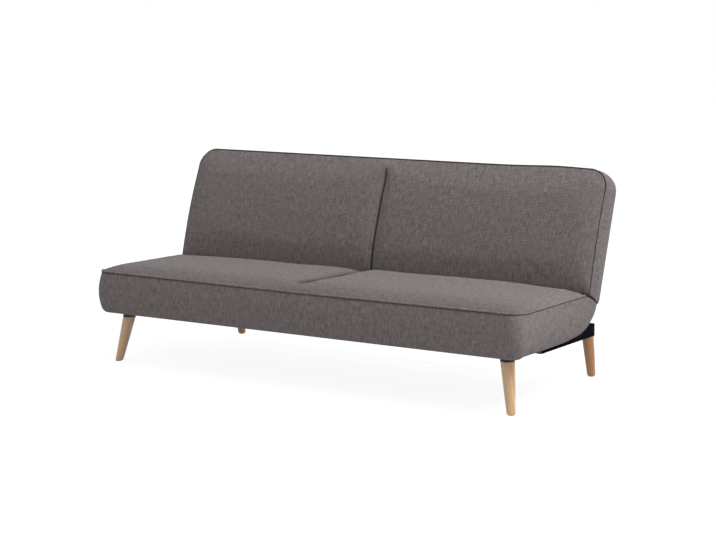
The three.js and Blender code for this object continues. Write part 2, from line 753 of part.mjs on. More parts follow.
// The room inside the backrest cover, drawn in by an inset
function backRoom(inset) {
  const reach = halfWidth - backEndBulge - coverWall - inset;
  const radius = backCornerRadius - coverWall - inset;
  const top = backLength - coverWall - inset;
  const bottom = coverWall / 2 + inset;
  const outline = [
    [-reach, bottom], [reach, bottom],
    ...arcPoints([reach - radius, top - radius], radius, 0, Math.PI / 2, cornerSteps),
    ...arcPoints([-reach + radius, top - radius], radius, Math.PI / 2, Math.PI, cornerSteps),
  ];
  return prismAlongY(outline, backRoomFront + inset, backRoomRear - inset);
}

function backHingeSlot(side) {
  return slab(side * slotInner, side * slotOuter, armPivotY - ratchetRadius - hingeSlotMargin,
    backThickness + cutOverrun, mitreLocalZ - cutOverrun, coverWall);
}

const foamRear = backRoomFront + contactGap + backFoamThickness;
const strapRearFace = foamRear + contactGap + strapThickness;
const timberFront = strapRearFace + contactGap;
const timberRear = backRoomRear - contactGap;
const backFrameBottom = coverWall / 2 + contactGap * 2;
const backFrameTop = backLength - coverWall - contactGap * 2;

function buildBackUpholstery() {
  const reach = halfWidth - backEndBulge - coverLip;
  const low = coverLip;
  const high = backLength - coverLip * 1.5;
  const mouth = slab(-reach, reach, backRoomRear - coverWall / 2, backThickness + cutOverrun, low, high);
  const cover = cutAway(cushion(backRing, backEndBulge, backCornerRadius), backRoom(0), mouth,
    backHingeSlot(1), backHingeSlot(-1));
  addPiece(backrest, 'back_cover', 'fabric', cover);
  const block = slab(-halfWidth, halfWidth, backRoomFront + contactGap, foamRear, 0, backLength);
  addPiece(backrest, 'back_foam', 'foam', cutAway(overlapOf(block, backRoom(contactGap)),
    backHingeSlot(1), backHingeSlot(-1)));
  addPiece(backrest, 'back_lining', 'lining', slab(-reach + contactGap, reach - contactGap,
    timberRear + contactGap, timberRear + contactGap + linerThickness, low + contactGap, high - contactGap));
}

function backTimber(name, x0, x1, y0, y1, z0, z1) {
  const blank = slab(x0, x1, y0, y1, z0, z1);
  addPiece(backrest, name, 'pine', overlapOf(blank, backRoom(contactGap)));
}

function buildBackFrame() {
  const reach = halfWidth - backEndBulge - coverWall - contactGap;
  const boardTop = backFrameBottom + backBoardHeight;
  const railLow = backFrameTop - timberHeight;
  const postLow = boardTop + contactGap;
  const postHigh = railLow - contactGap;
  backTimber('back_frame_bottom', -reach, reach, timberFront, timberFront + backBoardThickness,
    backFrameBottom, boardTop);
  backTimber('back_frame_top', -reach, reach, timberFront, timberRear, railLow, backFrameTop);
  const postOuter = armInner - contactGap;
  for (const [side, label] of [[-1, 'left'], [1, 'right']]) {
    backTimber(`back_frame_side_${label}`, side * (reach - timberWidth), side * reach,
      timberFront, timberRear, postLow, postHigh);
    backTimber(`back_hinge_post_${label}`, side * (postOuter - timberWidth), side * postOuter,
      timberFront, timberRear, postLow, postHigh);
  }
  const room = postHigh - postLow - strapWidth;
  for (let k = 0; k < strapCount; k += 1) {
    const low = postLow + room * k / (strapCount - 1);
    const strap = slab(-reach, reach, foamRear + contactGap, strapRearFace, low, low + strapWidth);
    addPiece(backrest, `back_webbing_${k + 1}`, 'webbing', overlapOf(strap, backRoom(contactGap)));
  }
}

buildSeatUpholstery();
buildSeatFrame();
buildSeatSprings();
for (const [side, label] of [[-1, 'left'], [1, 'right']]) {
  buildRail(side, label);
  buildHinge(side, label);
}
buildCrossTube('front', railFront + crossTubeFrontInset);
buildCrossTube('rear', railRear - crossTubeRearInset);
buildLegs();
buildBackUpholstery();
buildBackFrame();

// The origin lies on the floor under the middle of the sofa's depth.
const group = new THREE.Group();
const sofa = new THREE.Group();
sofa.add(seat, base, backrest);
group.add(sofa);
group.updateMatrixWorld(true);
const extent = new THREE.Box3().setFromObject(group, true);
sofa.position.y = -(extent.min.y + extent.max.y) / 2;

export default group;
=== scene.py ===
"""Looks of the click clack sofa bed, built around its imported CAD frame.

Lengths are in metres. +X runs along the sofa to the right as seen from the front, +Y to
the rear and +Z up, as in the CAD frame.
"""

import logging
import math
from collections.abc import Sequence
from dataclasses import dataclass
from enum import Enum

import bmesh
import bpy
import numpy as np
from mathutils import Matrix, Vector


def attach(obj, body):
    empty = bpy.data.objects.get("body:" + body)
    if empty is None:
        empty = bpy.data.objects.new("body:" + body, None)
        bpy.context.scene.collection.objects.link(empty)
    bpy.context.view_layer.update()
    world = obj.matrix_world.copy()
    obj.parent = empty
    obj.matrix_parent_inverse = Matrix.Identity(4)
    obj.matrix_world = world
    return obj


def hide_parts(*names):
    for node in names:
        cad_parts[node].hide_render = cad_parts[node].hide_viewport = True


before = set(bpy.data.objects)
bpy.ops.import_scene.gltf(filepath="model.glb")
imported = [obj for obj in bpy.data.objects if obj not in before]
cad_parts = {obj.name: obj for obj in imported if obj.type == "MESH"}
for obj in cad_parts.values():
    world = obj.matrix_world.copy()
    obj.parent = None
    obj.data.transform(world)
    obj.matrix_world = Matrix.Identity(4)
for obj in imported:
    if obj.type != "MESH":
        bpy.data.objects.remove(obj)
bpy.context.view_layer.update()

log = logging.getLogger("sofa_bed")

# How far to the front the seat's welt lies in the shared frame.
FRONT_WELT = -0.366886
# Points nearer to a limit than this lie on it.
TINY = 1e-6
# Turned, sawn and bent parts keep edges of more than these degrees sharp.
HARD_EDGE = 32.0

Line = tuple[tuple[float, float], ...]
Socket = bpy.types.NodeSocket
Tree = bpy.types.NodeTree


class Body(Enum):
    """The rigid bodies that a piece may ride on."""

    BASE = "base"
    BACKREST = "backrest"


def linear(colour: str) -> tuple[float, float, float, float]:
    """Turn an sRGB hex colour to linear light.

    Args:
        colour: Six hex digits.

    Returns:
        Linear red, green, blue and an alpha of one.
    """
    parts = [int(colour[k:k + 2], 16) / 255 for k in (0, 2, 4)]
    light = [p / 12.92 if p <= 0.04045 else ((p + 0.055) / 1.055) ** 2.4 for p in parts]
    return (*light, 1.0)


def add_node(tree: Tree, kind: str, inputs: dict | None = None,
             **settings: object) -> bpy.types.Node:
    """Add one shader node, set it up and link what leads into it.

    Args:
        tree: The node tree that gets the node.
        kind: The node's type name.
        inputs: Values or output sockets for its inputs, by name or index.
        settings: The node's own properties.

    Returns:
        The new node.
    """
    node = tree.nodes.new(kind)
    for name, value in settings.items():
        setattr(node, name, value)
    for key, value in (inputs or {}).items():
        if isinstance(value, bpy.types.NodeSocket):
            tree.links.new(value, node.inputs[key])
        else:
            node.inputs[key].default_value = value
    return node


def fresh_tree(owner: bpy.types.ID) -> Tree:
    """Give a material or a world an empty node tree."""
    owner.use_nodes = True
    owner.node_tree.nodes.clear()
    return owner.node_tree


def mix_colour(tree: Tree, share: float | Socket, first: str | Socket, second: str | Socket,
               blend: str = "MIX") -> Socket:
    """Blend two colours.

    Args:
        tree: The node tree.
        share: How much of the second colour.
        first: A hex colour or socket.
        second: A hex colour or socket.
        blend: The blend type.

    Returns:
        The blended colour's socket.
    """
    pair = [linear(tint) if isinstance(tint, str) else tint for tint in (first, second)]
    return add_node(tree, "ShaderNodeMix", {0: share, 6: pair[0], 7: pair[1]},
                    data_type="RGBA", blend_type=blend).outputs[2]


def spread(tree: Tree, value: Socket, low: float, high: float, to_low: float = 0.0,
           to_high: float = 1.0) -> Socket:
    """Map one range of values onto another, clamped.

    Args:
        tree: The node tree.
        value: The socket to map.
        low: Where the range starts.
        high: Where the range ends.
        to_low: What low becomes.
        to_high: What high becomes.

    Returns:
        The mapped value's socket.
    """
    node = add_node(tree, "ShaderNodeMapRange", {"Value": value, "From Min": low,
                    "From Max": high, "To Min": to_low, "To Max": to_high})
    return node.outputs["Result"]


def on_object(tree: Tree) -> Socket:
    """Places in the piece's own coordinates."""
    return add_node(tree, "ShaderNodeTexCoord").outputs["Object"]


def scaled(tree: Tree, place: Socket, scale: tuple[float, float, float],
           turn: tuple[float, float, float] = (0.0, 0.0, 0.0)) -> Socket:
    """Turn and scale places before a texture reads them."""
    return add_node(tree, "ShaderNodeMapping", {"Vector": place, "Scale": scale,
                    "Rotation": turn}).outputs[0]


def noise(tree: Tree, place: Socket, size: float, detail: float,
          roughness: float = 0.5) -> Socket:
    """Noise whose clouds are about a size wide."""
    return add_node(tree, "ShaderNodeTexNoise", {"Vector": place, "Scale": 1 / size,
                    "Detail": detail, "Roughness": roughness}).outputs["Fac"]


def bands(tree: Tree, place: Socket, pitch: float, way: str, distortion: float,
          detail: float = 2.0, detail_scale: float = 1.0) -> Socket:
    """Bands that repeat once in a pitch."""
    return add_node(tree, "ShaderNodeTexWave", {
        "Vector": place, "Scale": math.pi / 10 / pitch, "Distortion": distortion,
        "Detail": detail, "Detail Scale": detail_scale}, bands_direction=way).outputs["Fac"]


def bumped(tree: Tree, height: Socket, depth: float, strength: float,
           invert: bool = False) -> Socket:
    """A normal that follows heights of up to a depth."""
    return add_node(tree, "ShaderNodeBump", {"Height": height, "Distance": depth,
                    "Strength": strength}, invert=invert).outputs[0]


@dataclass(frozen=True)
class Finish:
    """A real material, drawn with procedural nodes in metres."""

    name: str

    def surface(self, tree: Tree) -> dict[str, object]:
        """The Principled shader's inputs, as values or sockets."""
        raise NotImplementedError

    def material(self) -> bpy.types.Material:
        """Build the material.

        Returns:
            The material, under the finish's name.
        """
        material = bpy.data.materials.new(self.name)
        tree = fresh_tree(material)
        shader = add_node(tree, "ShaderNodeBsdfPrincipled", self.surface(tree))
        add_node(tree, "ShaderNodeOutputMaterial", {"Surface": shader.outputs[0]})
        return material


@dataclass(frozen=True)
class RibbedChenille(Finish):
    """Woven polyester chenille with a fine rib: matt, soft, with a fuzzy rim and a melange
    of darker and paler yarns that runs along the ribs."""

    name: str = "ribbed_chenille"
    yarn: str = "77716e"
    dark_yarn: str = "514b48"
    pale_yarn: str = "9e9796"
    mauve_yarn: str = "766a6e"
    # The colour that painted shade darkens the cover towards.
    painted_shade_colour: str = "1d1a1a"
    # The real rib is about 3 mm wide and the slubs are shorter. Both are drawn coarser, so
    # that they show in the render.
    rib_pitch: float = 0.0070
    weft_pitch: float = 0.0052
    slub_width: float = 0.0046
    slub_length: float = 0.032
    mottle: float = 0.019
    cloud: float = 0.16
    rib_height: float = 0.0010

    def surface(self, tree: Tree) -> dict[str, object]:
        """Draw the weave on the cover's own UV map, which is in metres.

        Args:
            tree: The material's node tree.

        Returns:
            The shader's inputs.
        """
        cloth = add_node(tree, "ShaderNodeUVMap", uv_map="cloth").outputs[0]
        rib = bands(tree, cloth, self.rib_pitch, "X", 1.8, detail_scale=1.2)
        weft = bands(tree, cloth, self.weft_pitch, "Y", 2.2, detail_scale=1.4)
        thin, long = 1 / self.slub_width, 1 / self.slub_length
        slub = noise(tree, scaled(tree, cloth, (thin, long, 1.0)), 1.0, 3.0, 0.7)
        pick = noise(tree, scaled(tree, cloth, (long, thin, 1.0)), 1.0, 2.0, 0.6)
        patch = noise(tree, cloth, self.cloud, 4.0, 0.6)
        pile = noise(tree, cloth, self.mottle, 3.0, 0.65)
        tone = mix_colour(tree, spread(tree, slub, 0.33, 0.67), self.dark_yarn, self.pale_yarn)
        tone = mix_colour(tree, 0.30, tone, self.yarn)
        for source, limits, yarn in ((pile, (0.50, 0.66, 0.0, 0.30), self.pale_yarn),
                                     (pile, (0.34, 0.50, 0.30, 0.0), self.dark_yarn),
                                     (pick, (0.45, 0.70, 0.0, 0.40), self.dark_yarn),
                                     (rib, (0.0, 0.55, 0.50, 0.0), self.dark_yarn),
                                     (weft, (0.0, 0.40, 0.16, 0.0), self.dark_yarn),
                                     (patch, (0.38, 0.62, 0.0, 0.45), self.mauve_yarn)):
            tone = mix_colour(tree, spread(tree, source, *limits), tone, yarn)
        # The seam attribute holds painted shade, which darkens the yarn towards the painted shade
        # colour in the groove's crease, near the seat's front edge and on the ends.
        seam = add_node(tree, "ShaderNodeAttribute", attribute_name="seam").outputs["Fac"]
        relief = add_node(tree, "ShaderNodeMath", {0: rib, 1: weft, 2: slub},
                          operation="MULTIPLY_ADD").outputs[0]
        return {"Base Color": mix_colour(tree, seam, tone, self.painted_shade_colour),
                "Normal": bumped(tree, relief, self.rib_height, 0.8),
                "Roughness": 0.93, "Specular IOR Level": 0.2,
                "Sheen Weight": 0.10, "Sheen Roughness": 0.55}


@dataclass(frozen=True)
class TwillPiping(Finish):
    """Narrow piping of tightly woven twill, darker than the cover: matt, with a fine
    diagonal thread."""

    colour: str
    worn: str
    thread: float = 0.0012
    rub: float = 0.012

    def surface(self, tree: Tree) -> dict[str, object]:
        """Draw the piping cloth.

        Args:
            tree: The material's node tree.

        Returns:
            The shader's inputs.
        """
        place = on_object(tree)
        twill = bands(tree, place, self.thread, "DIAGONAL", 1.0)
        worn = spread(tree, noise(tree, place, self.rub, 3.0), 0.4, 0.75)
        return {"Base Color": mix_colour(tree, worn, self.colour, self.worn),
                "Normal": bumped(tree, twill, self.thread / 3, 0.6),
                "Roughness": 0.9, "Specular IOR Level": 0.2}


@dataclass(frozen=True)
class LacqueredWood(Finish):
    """Turned or planed wood under clear lacquer: soft gloss, with growth rings drawn out
    along the grain and short dark pores. The grain runs along the piece's own grain
    attribute, and its tone attribute carries painted shade, which darkens the rear legs
    for the shade under the sofa."""

    early: str
    late: str
    pore: str
    painted_shade_tint: str
    roughness: float
    coat: float = 0.0
    ring: float = 0.006
    sway: float = 0.02
    pore_length: float = 0.016
    pore_width: float = 0.0011
    pore_depth: float = 0.0003
    drawn_out: float = 0.07
    own_grain: bool = True
    grain_turn: tuple[float, float, float] = (0.0, 0.0, 0.0)

    def surface(self, tree: Tree) -> dict[str, object]:
        """Draw the wood.

        Args:
            tree: The material's node tree.

        Returns:
            The shader's inputs.
        """
        if self.own_grain:
            place = add_node(tree, "ShaderNodeAttribute", attribute_name="grain").outputs["Vector"]
        else:
            place = scaled(tree, on_object(tree), (1.0, 1.0, 1.0), self.grain_turn)
        drawn = scaled(tree, place, (1.0, 1.0, self.drawn_out))
        sway = noise(tree, drawn, self.sway, 3.0)
        rings = bands(tree, drawn, self.ring, "X", 4.0, detail=3.0, detail_scale=0.8)
        thin = 1 / self.pore_width
        pores = noise(tree, scaled(tree, place, (thin, thin, 1 / self.pore_length)), 1.0, 2.0, 0.6)
        tone = mix_colour(tree, spread(tree, rings, 0.25, 0.95, 0.0, 0.65), self.early, self.late)
        tone = mix_colour(tree, spread(tree, sway, 0.4, 0.65, 0.0, 0.3), tone, self.late)
        tone = mix_colour(tree, spread(tree, pores, 0.58, 0.78, 0.0, 0.6), tone, self.pore)
        # The tone attribute is painted shade, which darkens the rear legs for the shade under the
        # sofa.
        depth = add_node(tree, "ShaderNodeAttribute", attribute_name="tone").outputs["Fac"]
        return {"Base Color": mix_colour(tree, depth, tone, self.painted_shade_tint, blend="MULTIPLY"),
                "Normal": bumped(tree, pores, self.pore_depth, 0.25, invert=True),
                "Roughness": spread(tree, rings, 0.0, 1.0, self.roughness - 0.04,
                                    self.roughness + 0.08),
                "Coat Weight": self.coat, "Coat Roughness": 0.22}


@dataclass(frozen=True)
class CoatedSteel(Finish):
    """Steel under powder coat or zinc: an even skin with a fine orange peel and faint clouds
    in its gloss."""

    colour: str
    tint: str
    metallic: float
    roughness: float
    specular: float = 0.5
    peel: float = 0.0018
    cloud: float = 0.05
    relief: float = 0.00008

    def surface(self, tree: Tree) -> dict[str, object]:
        """Draw the coating.

        Args:
            tree: The material's node tree.

        Returns:
            The shader's inputs.
        """
        place = on_object(tree)
        cloud = noise(tree, place, self.cloud, 4.0)
        tone = mix_colour(tree, spread(tree, cloud, 0.35, 0.65), self.colour, self.tint)
        return {"Base Color": tone,
                "Normal": bumped(tree, noise(tree, place, self.peel, 2.0), self.relief, 0.5),
                "Roughness": spread(tree, cloud, 0.3, 0.7, self.roughness - 0.06,
                                    self.roughness + 0.06),
                "Metallic": self.metallic, "Specular IOR Level": self.specular}


@dataclass(frozen=True)
class SpunboundCloth(Finish):
    """Black spunbound polypropylene: a thin matt cloth with a small stamped dimple grid and
    cloudy fibres."""

    name: str = "spunbound_cloth"
    colour: str = "1b1b1d"
    fibre: str = "343437"
    dimple: float = 0.0032
    fibre_length: float = 0.009
    relief: float = 0.0003

    def surface(self, tree: Tree) -> dict[str, object]:
        """Draw the lining cloth.

        Args:
            tree: The material's node tree.

        Returns:
            The shader's inputs.
        """
        place = on_object(tree)
        stamp = add_node(tree, "ShaderNodeTexVoronoi", {"Vector": place, "Scale": 1 / self.dimple,
                         "Randomness": 0.15}).outputs["Distance"]
        fibres = spread(tree, noise(tree, place, self.fibre_length, 5.0, 0.7), 0.42, 0.7)
        return {"Base Color": mix_colour(tree, fibres, self.colour, self.fibre),
                "Normal": bumped(tree, stamp, self.relief, 0.6),
                "Roughness": 0.88, "Specular IOR Level": 0.3}


@dataclass(frozen=True)
class MouldedPlastic(Finish):
    """Injection-moulded plastic with a fine spark-eroded grain, rubbed paler where it is
    touched."""

    colour: str
    rubbed: str
    roughness: float = 0.52
    grain: float = 0.0009
    rub: float = 0.02
    relief: float = 0.0001

    def surface(self, tree: Tree) -> dict[str, object]:
        """Draw the plastic.

        Args:
            tree: The material's node tree.

        Returns:
            The shader's inputs.
        """
        place = on_object(tree)
        rub = spread(tree, noise(tree, place, self.rub, 3.0), 0.4, 0.7)
        return {"Base Color": mix_colour(tree, rub, self.colour, self.rubbed),
                "Normal": bumped(tree, noise(tree, place, self.grain, 2.0), self.relief, 0.4),
                "Roughness": self.roughness}


@dataclass(frozen=True)
class ElasticWebbing(Finish):
    """Woven elastic webbing: lengthwise rubber cords under a crossing weft, ribbed and
    matt."""

    name: str = "elastic_webbing"
    cord: str = "4d4238"
    gap: str = "2b241f"
    pitch: float = 0.004
    relief: float = 0.0005

    def surface(self, tree: Tree) -> dict[str, object]:
        """Draw the webbing.

        Args:
            tree: The material's node tree.

        Returns:
            The shader's inputs.
        """
        cords = bands(tree, on_object(tree), self.pitch, "Z", 0.4)
        return {"Base Color": mix_colour(tree, cords, self.gap, self.cord),
                "Normal": bumped(tree, cords, self.relief, 0.7), "Roughness": 0.9}


@dataclass(frozen=True)
class Finishes:
    """Every material of the sofa bed, built once."""

    cover: bpy.types.Material
    dark_piping: bpy.types.Material
    soft_piping: bpy.types.Material
    oak: bpy.types.Material
    pine: bpy.types.Material
    coated: bpy.types.Material
    zinc: bpy.types.Material
    lining: bpy.types.Material
    plastic: bpy.types.Material
    nylon: bpy.types.Material
    webbing: bpy.types.Material

    @classmethod
    def build(cls) -> "Finishes":
        """Build all the materials."""
        return cls(
            cover=RibbedChenille().material(),
            dark_piping=TwillPiping("dark_twill_piping", "2c2827", "403a38").material(),
            # The seat's piping is dark partly as its seam's own colour and partly as painted shade
            # in that seam.
            soft_piping=TwillPiping("seam_shade_twill_piping", "423b3a", "5c5350").material(),
            # The oak's fourth colour tints the painted shade on the rear legs.
            oak=LacqueredWood("lacquered_oak", "dcb893", "b98d60", "7a5636", "c69b76", 0.36,
                              coat=0.22).material(),
            pine=LacqueredWood("planed_pine", "d8bb8a", "b98d57", "9a6d3c", "ffffff", 0.62,
                               ring=0.009, own_grain=False,
                               grain_turn=(0.0, math.pi / 2, 0.0)).material(),
            coated=CoatedSteel("powder_coated_steel", "101017", "17171f", 0.0, 0.75,
                               specular=0.0).material(),
            zinc=CoatedSteel("zinc_plated_steel", "a3a6a8", "8b8f92", 1.0, 0.34,
                             relief=0.00003).material(),
            lining=SpunboundCloth().material(),
            plastic=MouldedPlastic("moulded_polypropylene", "0b0b0e", "151518").material(),
            nylon=MouldedPlastic("moulded_nylon", "cdb592", "d9c7aa", 0.45).material(),
            webbing=ElasticWebbing().material(),
        )


class SmoothLine:
    """A smooth line through points in a plane, read by the share of its length."""

    def __init__(self, points: Sequence[tuple[float, float]], steps: int = 16) -> None:
        """Sample a Catmull-Rom spline through the points.

        Args:
            points: The points that it passes through.
            steps: Samples between two points.
        """
        knots = np.array(points, float)
        before, after = 2 * knots[0] - knots[1], 2 * knots[-1] - knots[-2]
        run = np.vstack([before, knots, after])
        t = np.linspace(0, 1, steps, endpoint=False)[:, None]
        parts = []
        for p0, p1, p2, p3 in zip(run, run[1:], run[2:], run[3:]):
            parts.append(0.5 * (2 * p1 + (p2 - p0) * t + (2 * p0 - 5 * p1 + 4 * p2 - p3) * t ** 2
                                + (3 * p1 - p0 - 3 * p2 + p3) * t ** 3))
        self.samples = np.vstack([*parts, knots[-1:]])
        steps_long = np.linalg.norm(np.diff(self.samples, axis=0), axis=1)
        self.run = np.concatenate([[0.0], np.cumsum(steps_long)])
        self.length = float(self.run[-1])

    def at(self, share: np.ndarray) -> tuple[np.ndarray, np.ndarray]:
        """Both coordinates at shares of the line's length."""
        where = share * self.length
        return (np.interp(where, self.run, self.samples[:, 0]),
                np.interp(where, self.run, self.samples[:, 1]))


def new_object(name: str, mesh: bpy.types.Mesh) -> bpy.types.Object:
    """Link a mesh into the scene as an object."""
    thing = bpy.data.objects.new(name, mesh)
    bpy.context.scene.collection.objects.link(thing)
    return thing


def finished_mesh(thing: bpy.types.Object) -> bpy.types.Mesh:
    """Take an object's mesh with its modifiers applied, and drop the object."""
    view = bpy.context.evaluated_depsgraph_get()
    mesh = bpy.data.meshes.new_from_object(thing.evaluated_get(view))
    bpy.data.objects.remove(thing)
    return mesh


def new_piece(name: str, mesh: bpy.types.Mesh, material: bpy.types.Material, body: Body,
              sharp: float | None = None) -> bpy.types.Object:
    """Put a finished mesh in the scene as a piece that rides on a body.

    Args:
        name: The piece's name.
        mesh: Its mesh, already in place.
        material: Its finish.
        body: The body that it rides on.
        sharp: The turn in degrees above which its edges stay sharp, if any do.

    Returns:
        The piece.
    """
    mesh.name = name
    mesh.materials.clear()
    mesh.materials.append(material)
    mesh.shade_smooth()
    if sharp is not None:
        mesh.set_sharp_from_angle(angle=math.radians(sharp))
    piece = new_object(name, mesh)
    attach(piece, body.value)
    log.info("%s: %d faces", name, len(mesh.polygons))
    return piece


def mesh_of(shape: bmesh.types.BMesh, name: str) -> bpy.types.Mesh:
    """Write a bmesh to a new mesh and free it."""
    mesh = bpy.data.meshes.new(name)
    shape.to_mesh(mesh)
    shape.free()
    return mesh


def box_grid(cells: tuple[int, int, int]) -> bpy.types.Mesh:
    """Make a box from -1 to 1 whose six sides are even grids.

    Args:
        cells: How many cells it has along each axis.

    Returns:
        The box.
    """
    box = bmesh.new()
    bmesh.ops.create_cube(box, size=2.0)
    for axis, count in enumerate(cells):
        along = [e for e in box.edges if abs(e.verts[0].co[axis] - e.verts[1].co[axis]) > 1e-4]
        bmesh.ops.subdivide_edges(box, edges=along, cuts=count - 1, use_grid_fill=True)
    return mesh_of(box, "box_grid")


def read_rows(items: bpy.types.bpy_prop_collection, name: str, width: int,
              kind: type = float) -> np.ndarray:
    """One property of all the items, one item in each row."""
    flat = np.empty(width * len(items), kind)
    items.foreach_get(name, flat)
    return flat.reshape(-1, width)


def read_points(mesh: bpy.types.Mesh) -> np.ndarray:
    """A mesh's points, one in each row."""
    return read_rows(mesh.vertices, "co", 3)


def write_points(mesh: bpy.types.Mesh, points: np.ndarray) -> None:
    """Move a mesh's points."""
    mesh.vertices.foreach_set("co", points.ravel())
    mesh.update()


def prism(outline: Sequence[Sequence[float]], along: Sequence[float]) -> bpy.types.Mesh:
    """Carry a flat outline along a straight way.

    Args:
        outline: The outline's corners in space.
        along: How far and which way it is carried.

    Returns:
        The closed solid.
    """
    work = bmesh.new()
    face = work.faces.new([work.verts.new(corner) for corner in outline])
    grown = bmesh.ops.extrude_face_region(work, geom=[face])
    moved = [part for part in grown["geom"] if isinstance(part, bmesh.types.BMVert)]
    bmesh.ops.translate(work, verts=moved, vec=along)
    bmesh.ops.recalc_face_normals(work, faces=work.faces)
    return mesh_of(work, "prism")


def carve(mesh: bpy.types.Mesh, cutters: Sequence[bpy.types.Mesh]) -> bpy.types.Mesh:
    """Cut solids out of a closed mesh.

    Args:
        mesh: The mesh.
        cutters: The solids to take away.

    Returns:
        What is left, still closed.
    """
    whole = new_object("carved", mesh)
    tools = [new_object("cutter", cutter) for cutter in cutters]
    for tool in tools:
        cut = whole.modifiers.new("cut", "BOOLEAN")
        cut.operation, cut.solver, cut.object = "DIFFERENCE", "MANIFOLD", tool
    result = finished_mesh(whole)
    for tool in tools:
        bpy.data.objects.remove(tool)
    return result


def swept_tube(name: str, points: np.ndarray, radius: float | np.ndarray) -> bpy.types.Mesh:
    """Make a round tube along a line, closed at its ends, with its own cloth map.

    Args:
        name: The mesh's name.
        points: The line's points.
        radius: The tube's radius, one for all its points or one for each.

    Returns:
        The mesh.
    """
    line = bpy.data.curves.new(name, "CURVE")
    line.dimensions = "3D"
    line.bevel_depth = 1.0
    line.bevel_resolution = 2
    line.use_fill_caps = True
    spline = line.splines.new("POLY")
    spline.points.add(len(points) - 1)
    spline.points.foreach_set("co", np.hstack([points, np.ones((len(points), 1))]).ravel())
    spline.points.foreach_set("radius", radius * np.ones(len(points)))
    mesh = finished_mesh(new_object(name, line))
    bpy.data.curves.remove(line)
    spot = read_points(mesh)[read_rows(mesh.loops, "vertex_index", 1, int)[:, 0]]
    cloth = mesh.uv_layers.new(name="cloth")
    cloth.uv.foreach_set("vector", np.stack([spot[:, 0] + spot[:, 1], spot[:, 2]], 1).ravel())
    return mesh


def smooth(share: np.ndarray) -> np.ndarray:
    """Ease a share from nought to one, level at both ends."""
    share = np.clip(share, 0, 1)
    return share * share * (3 - 2 * share)


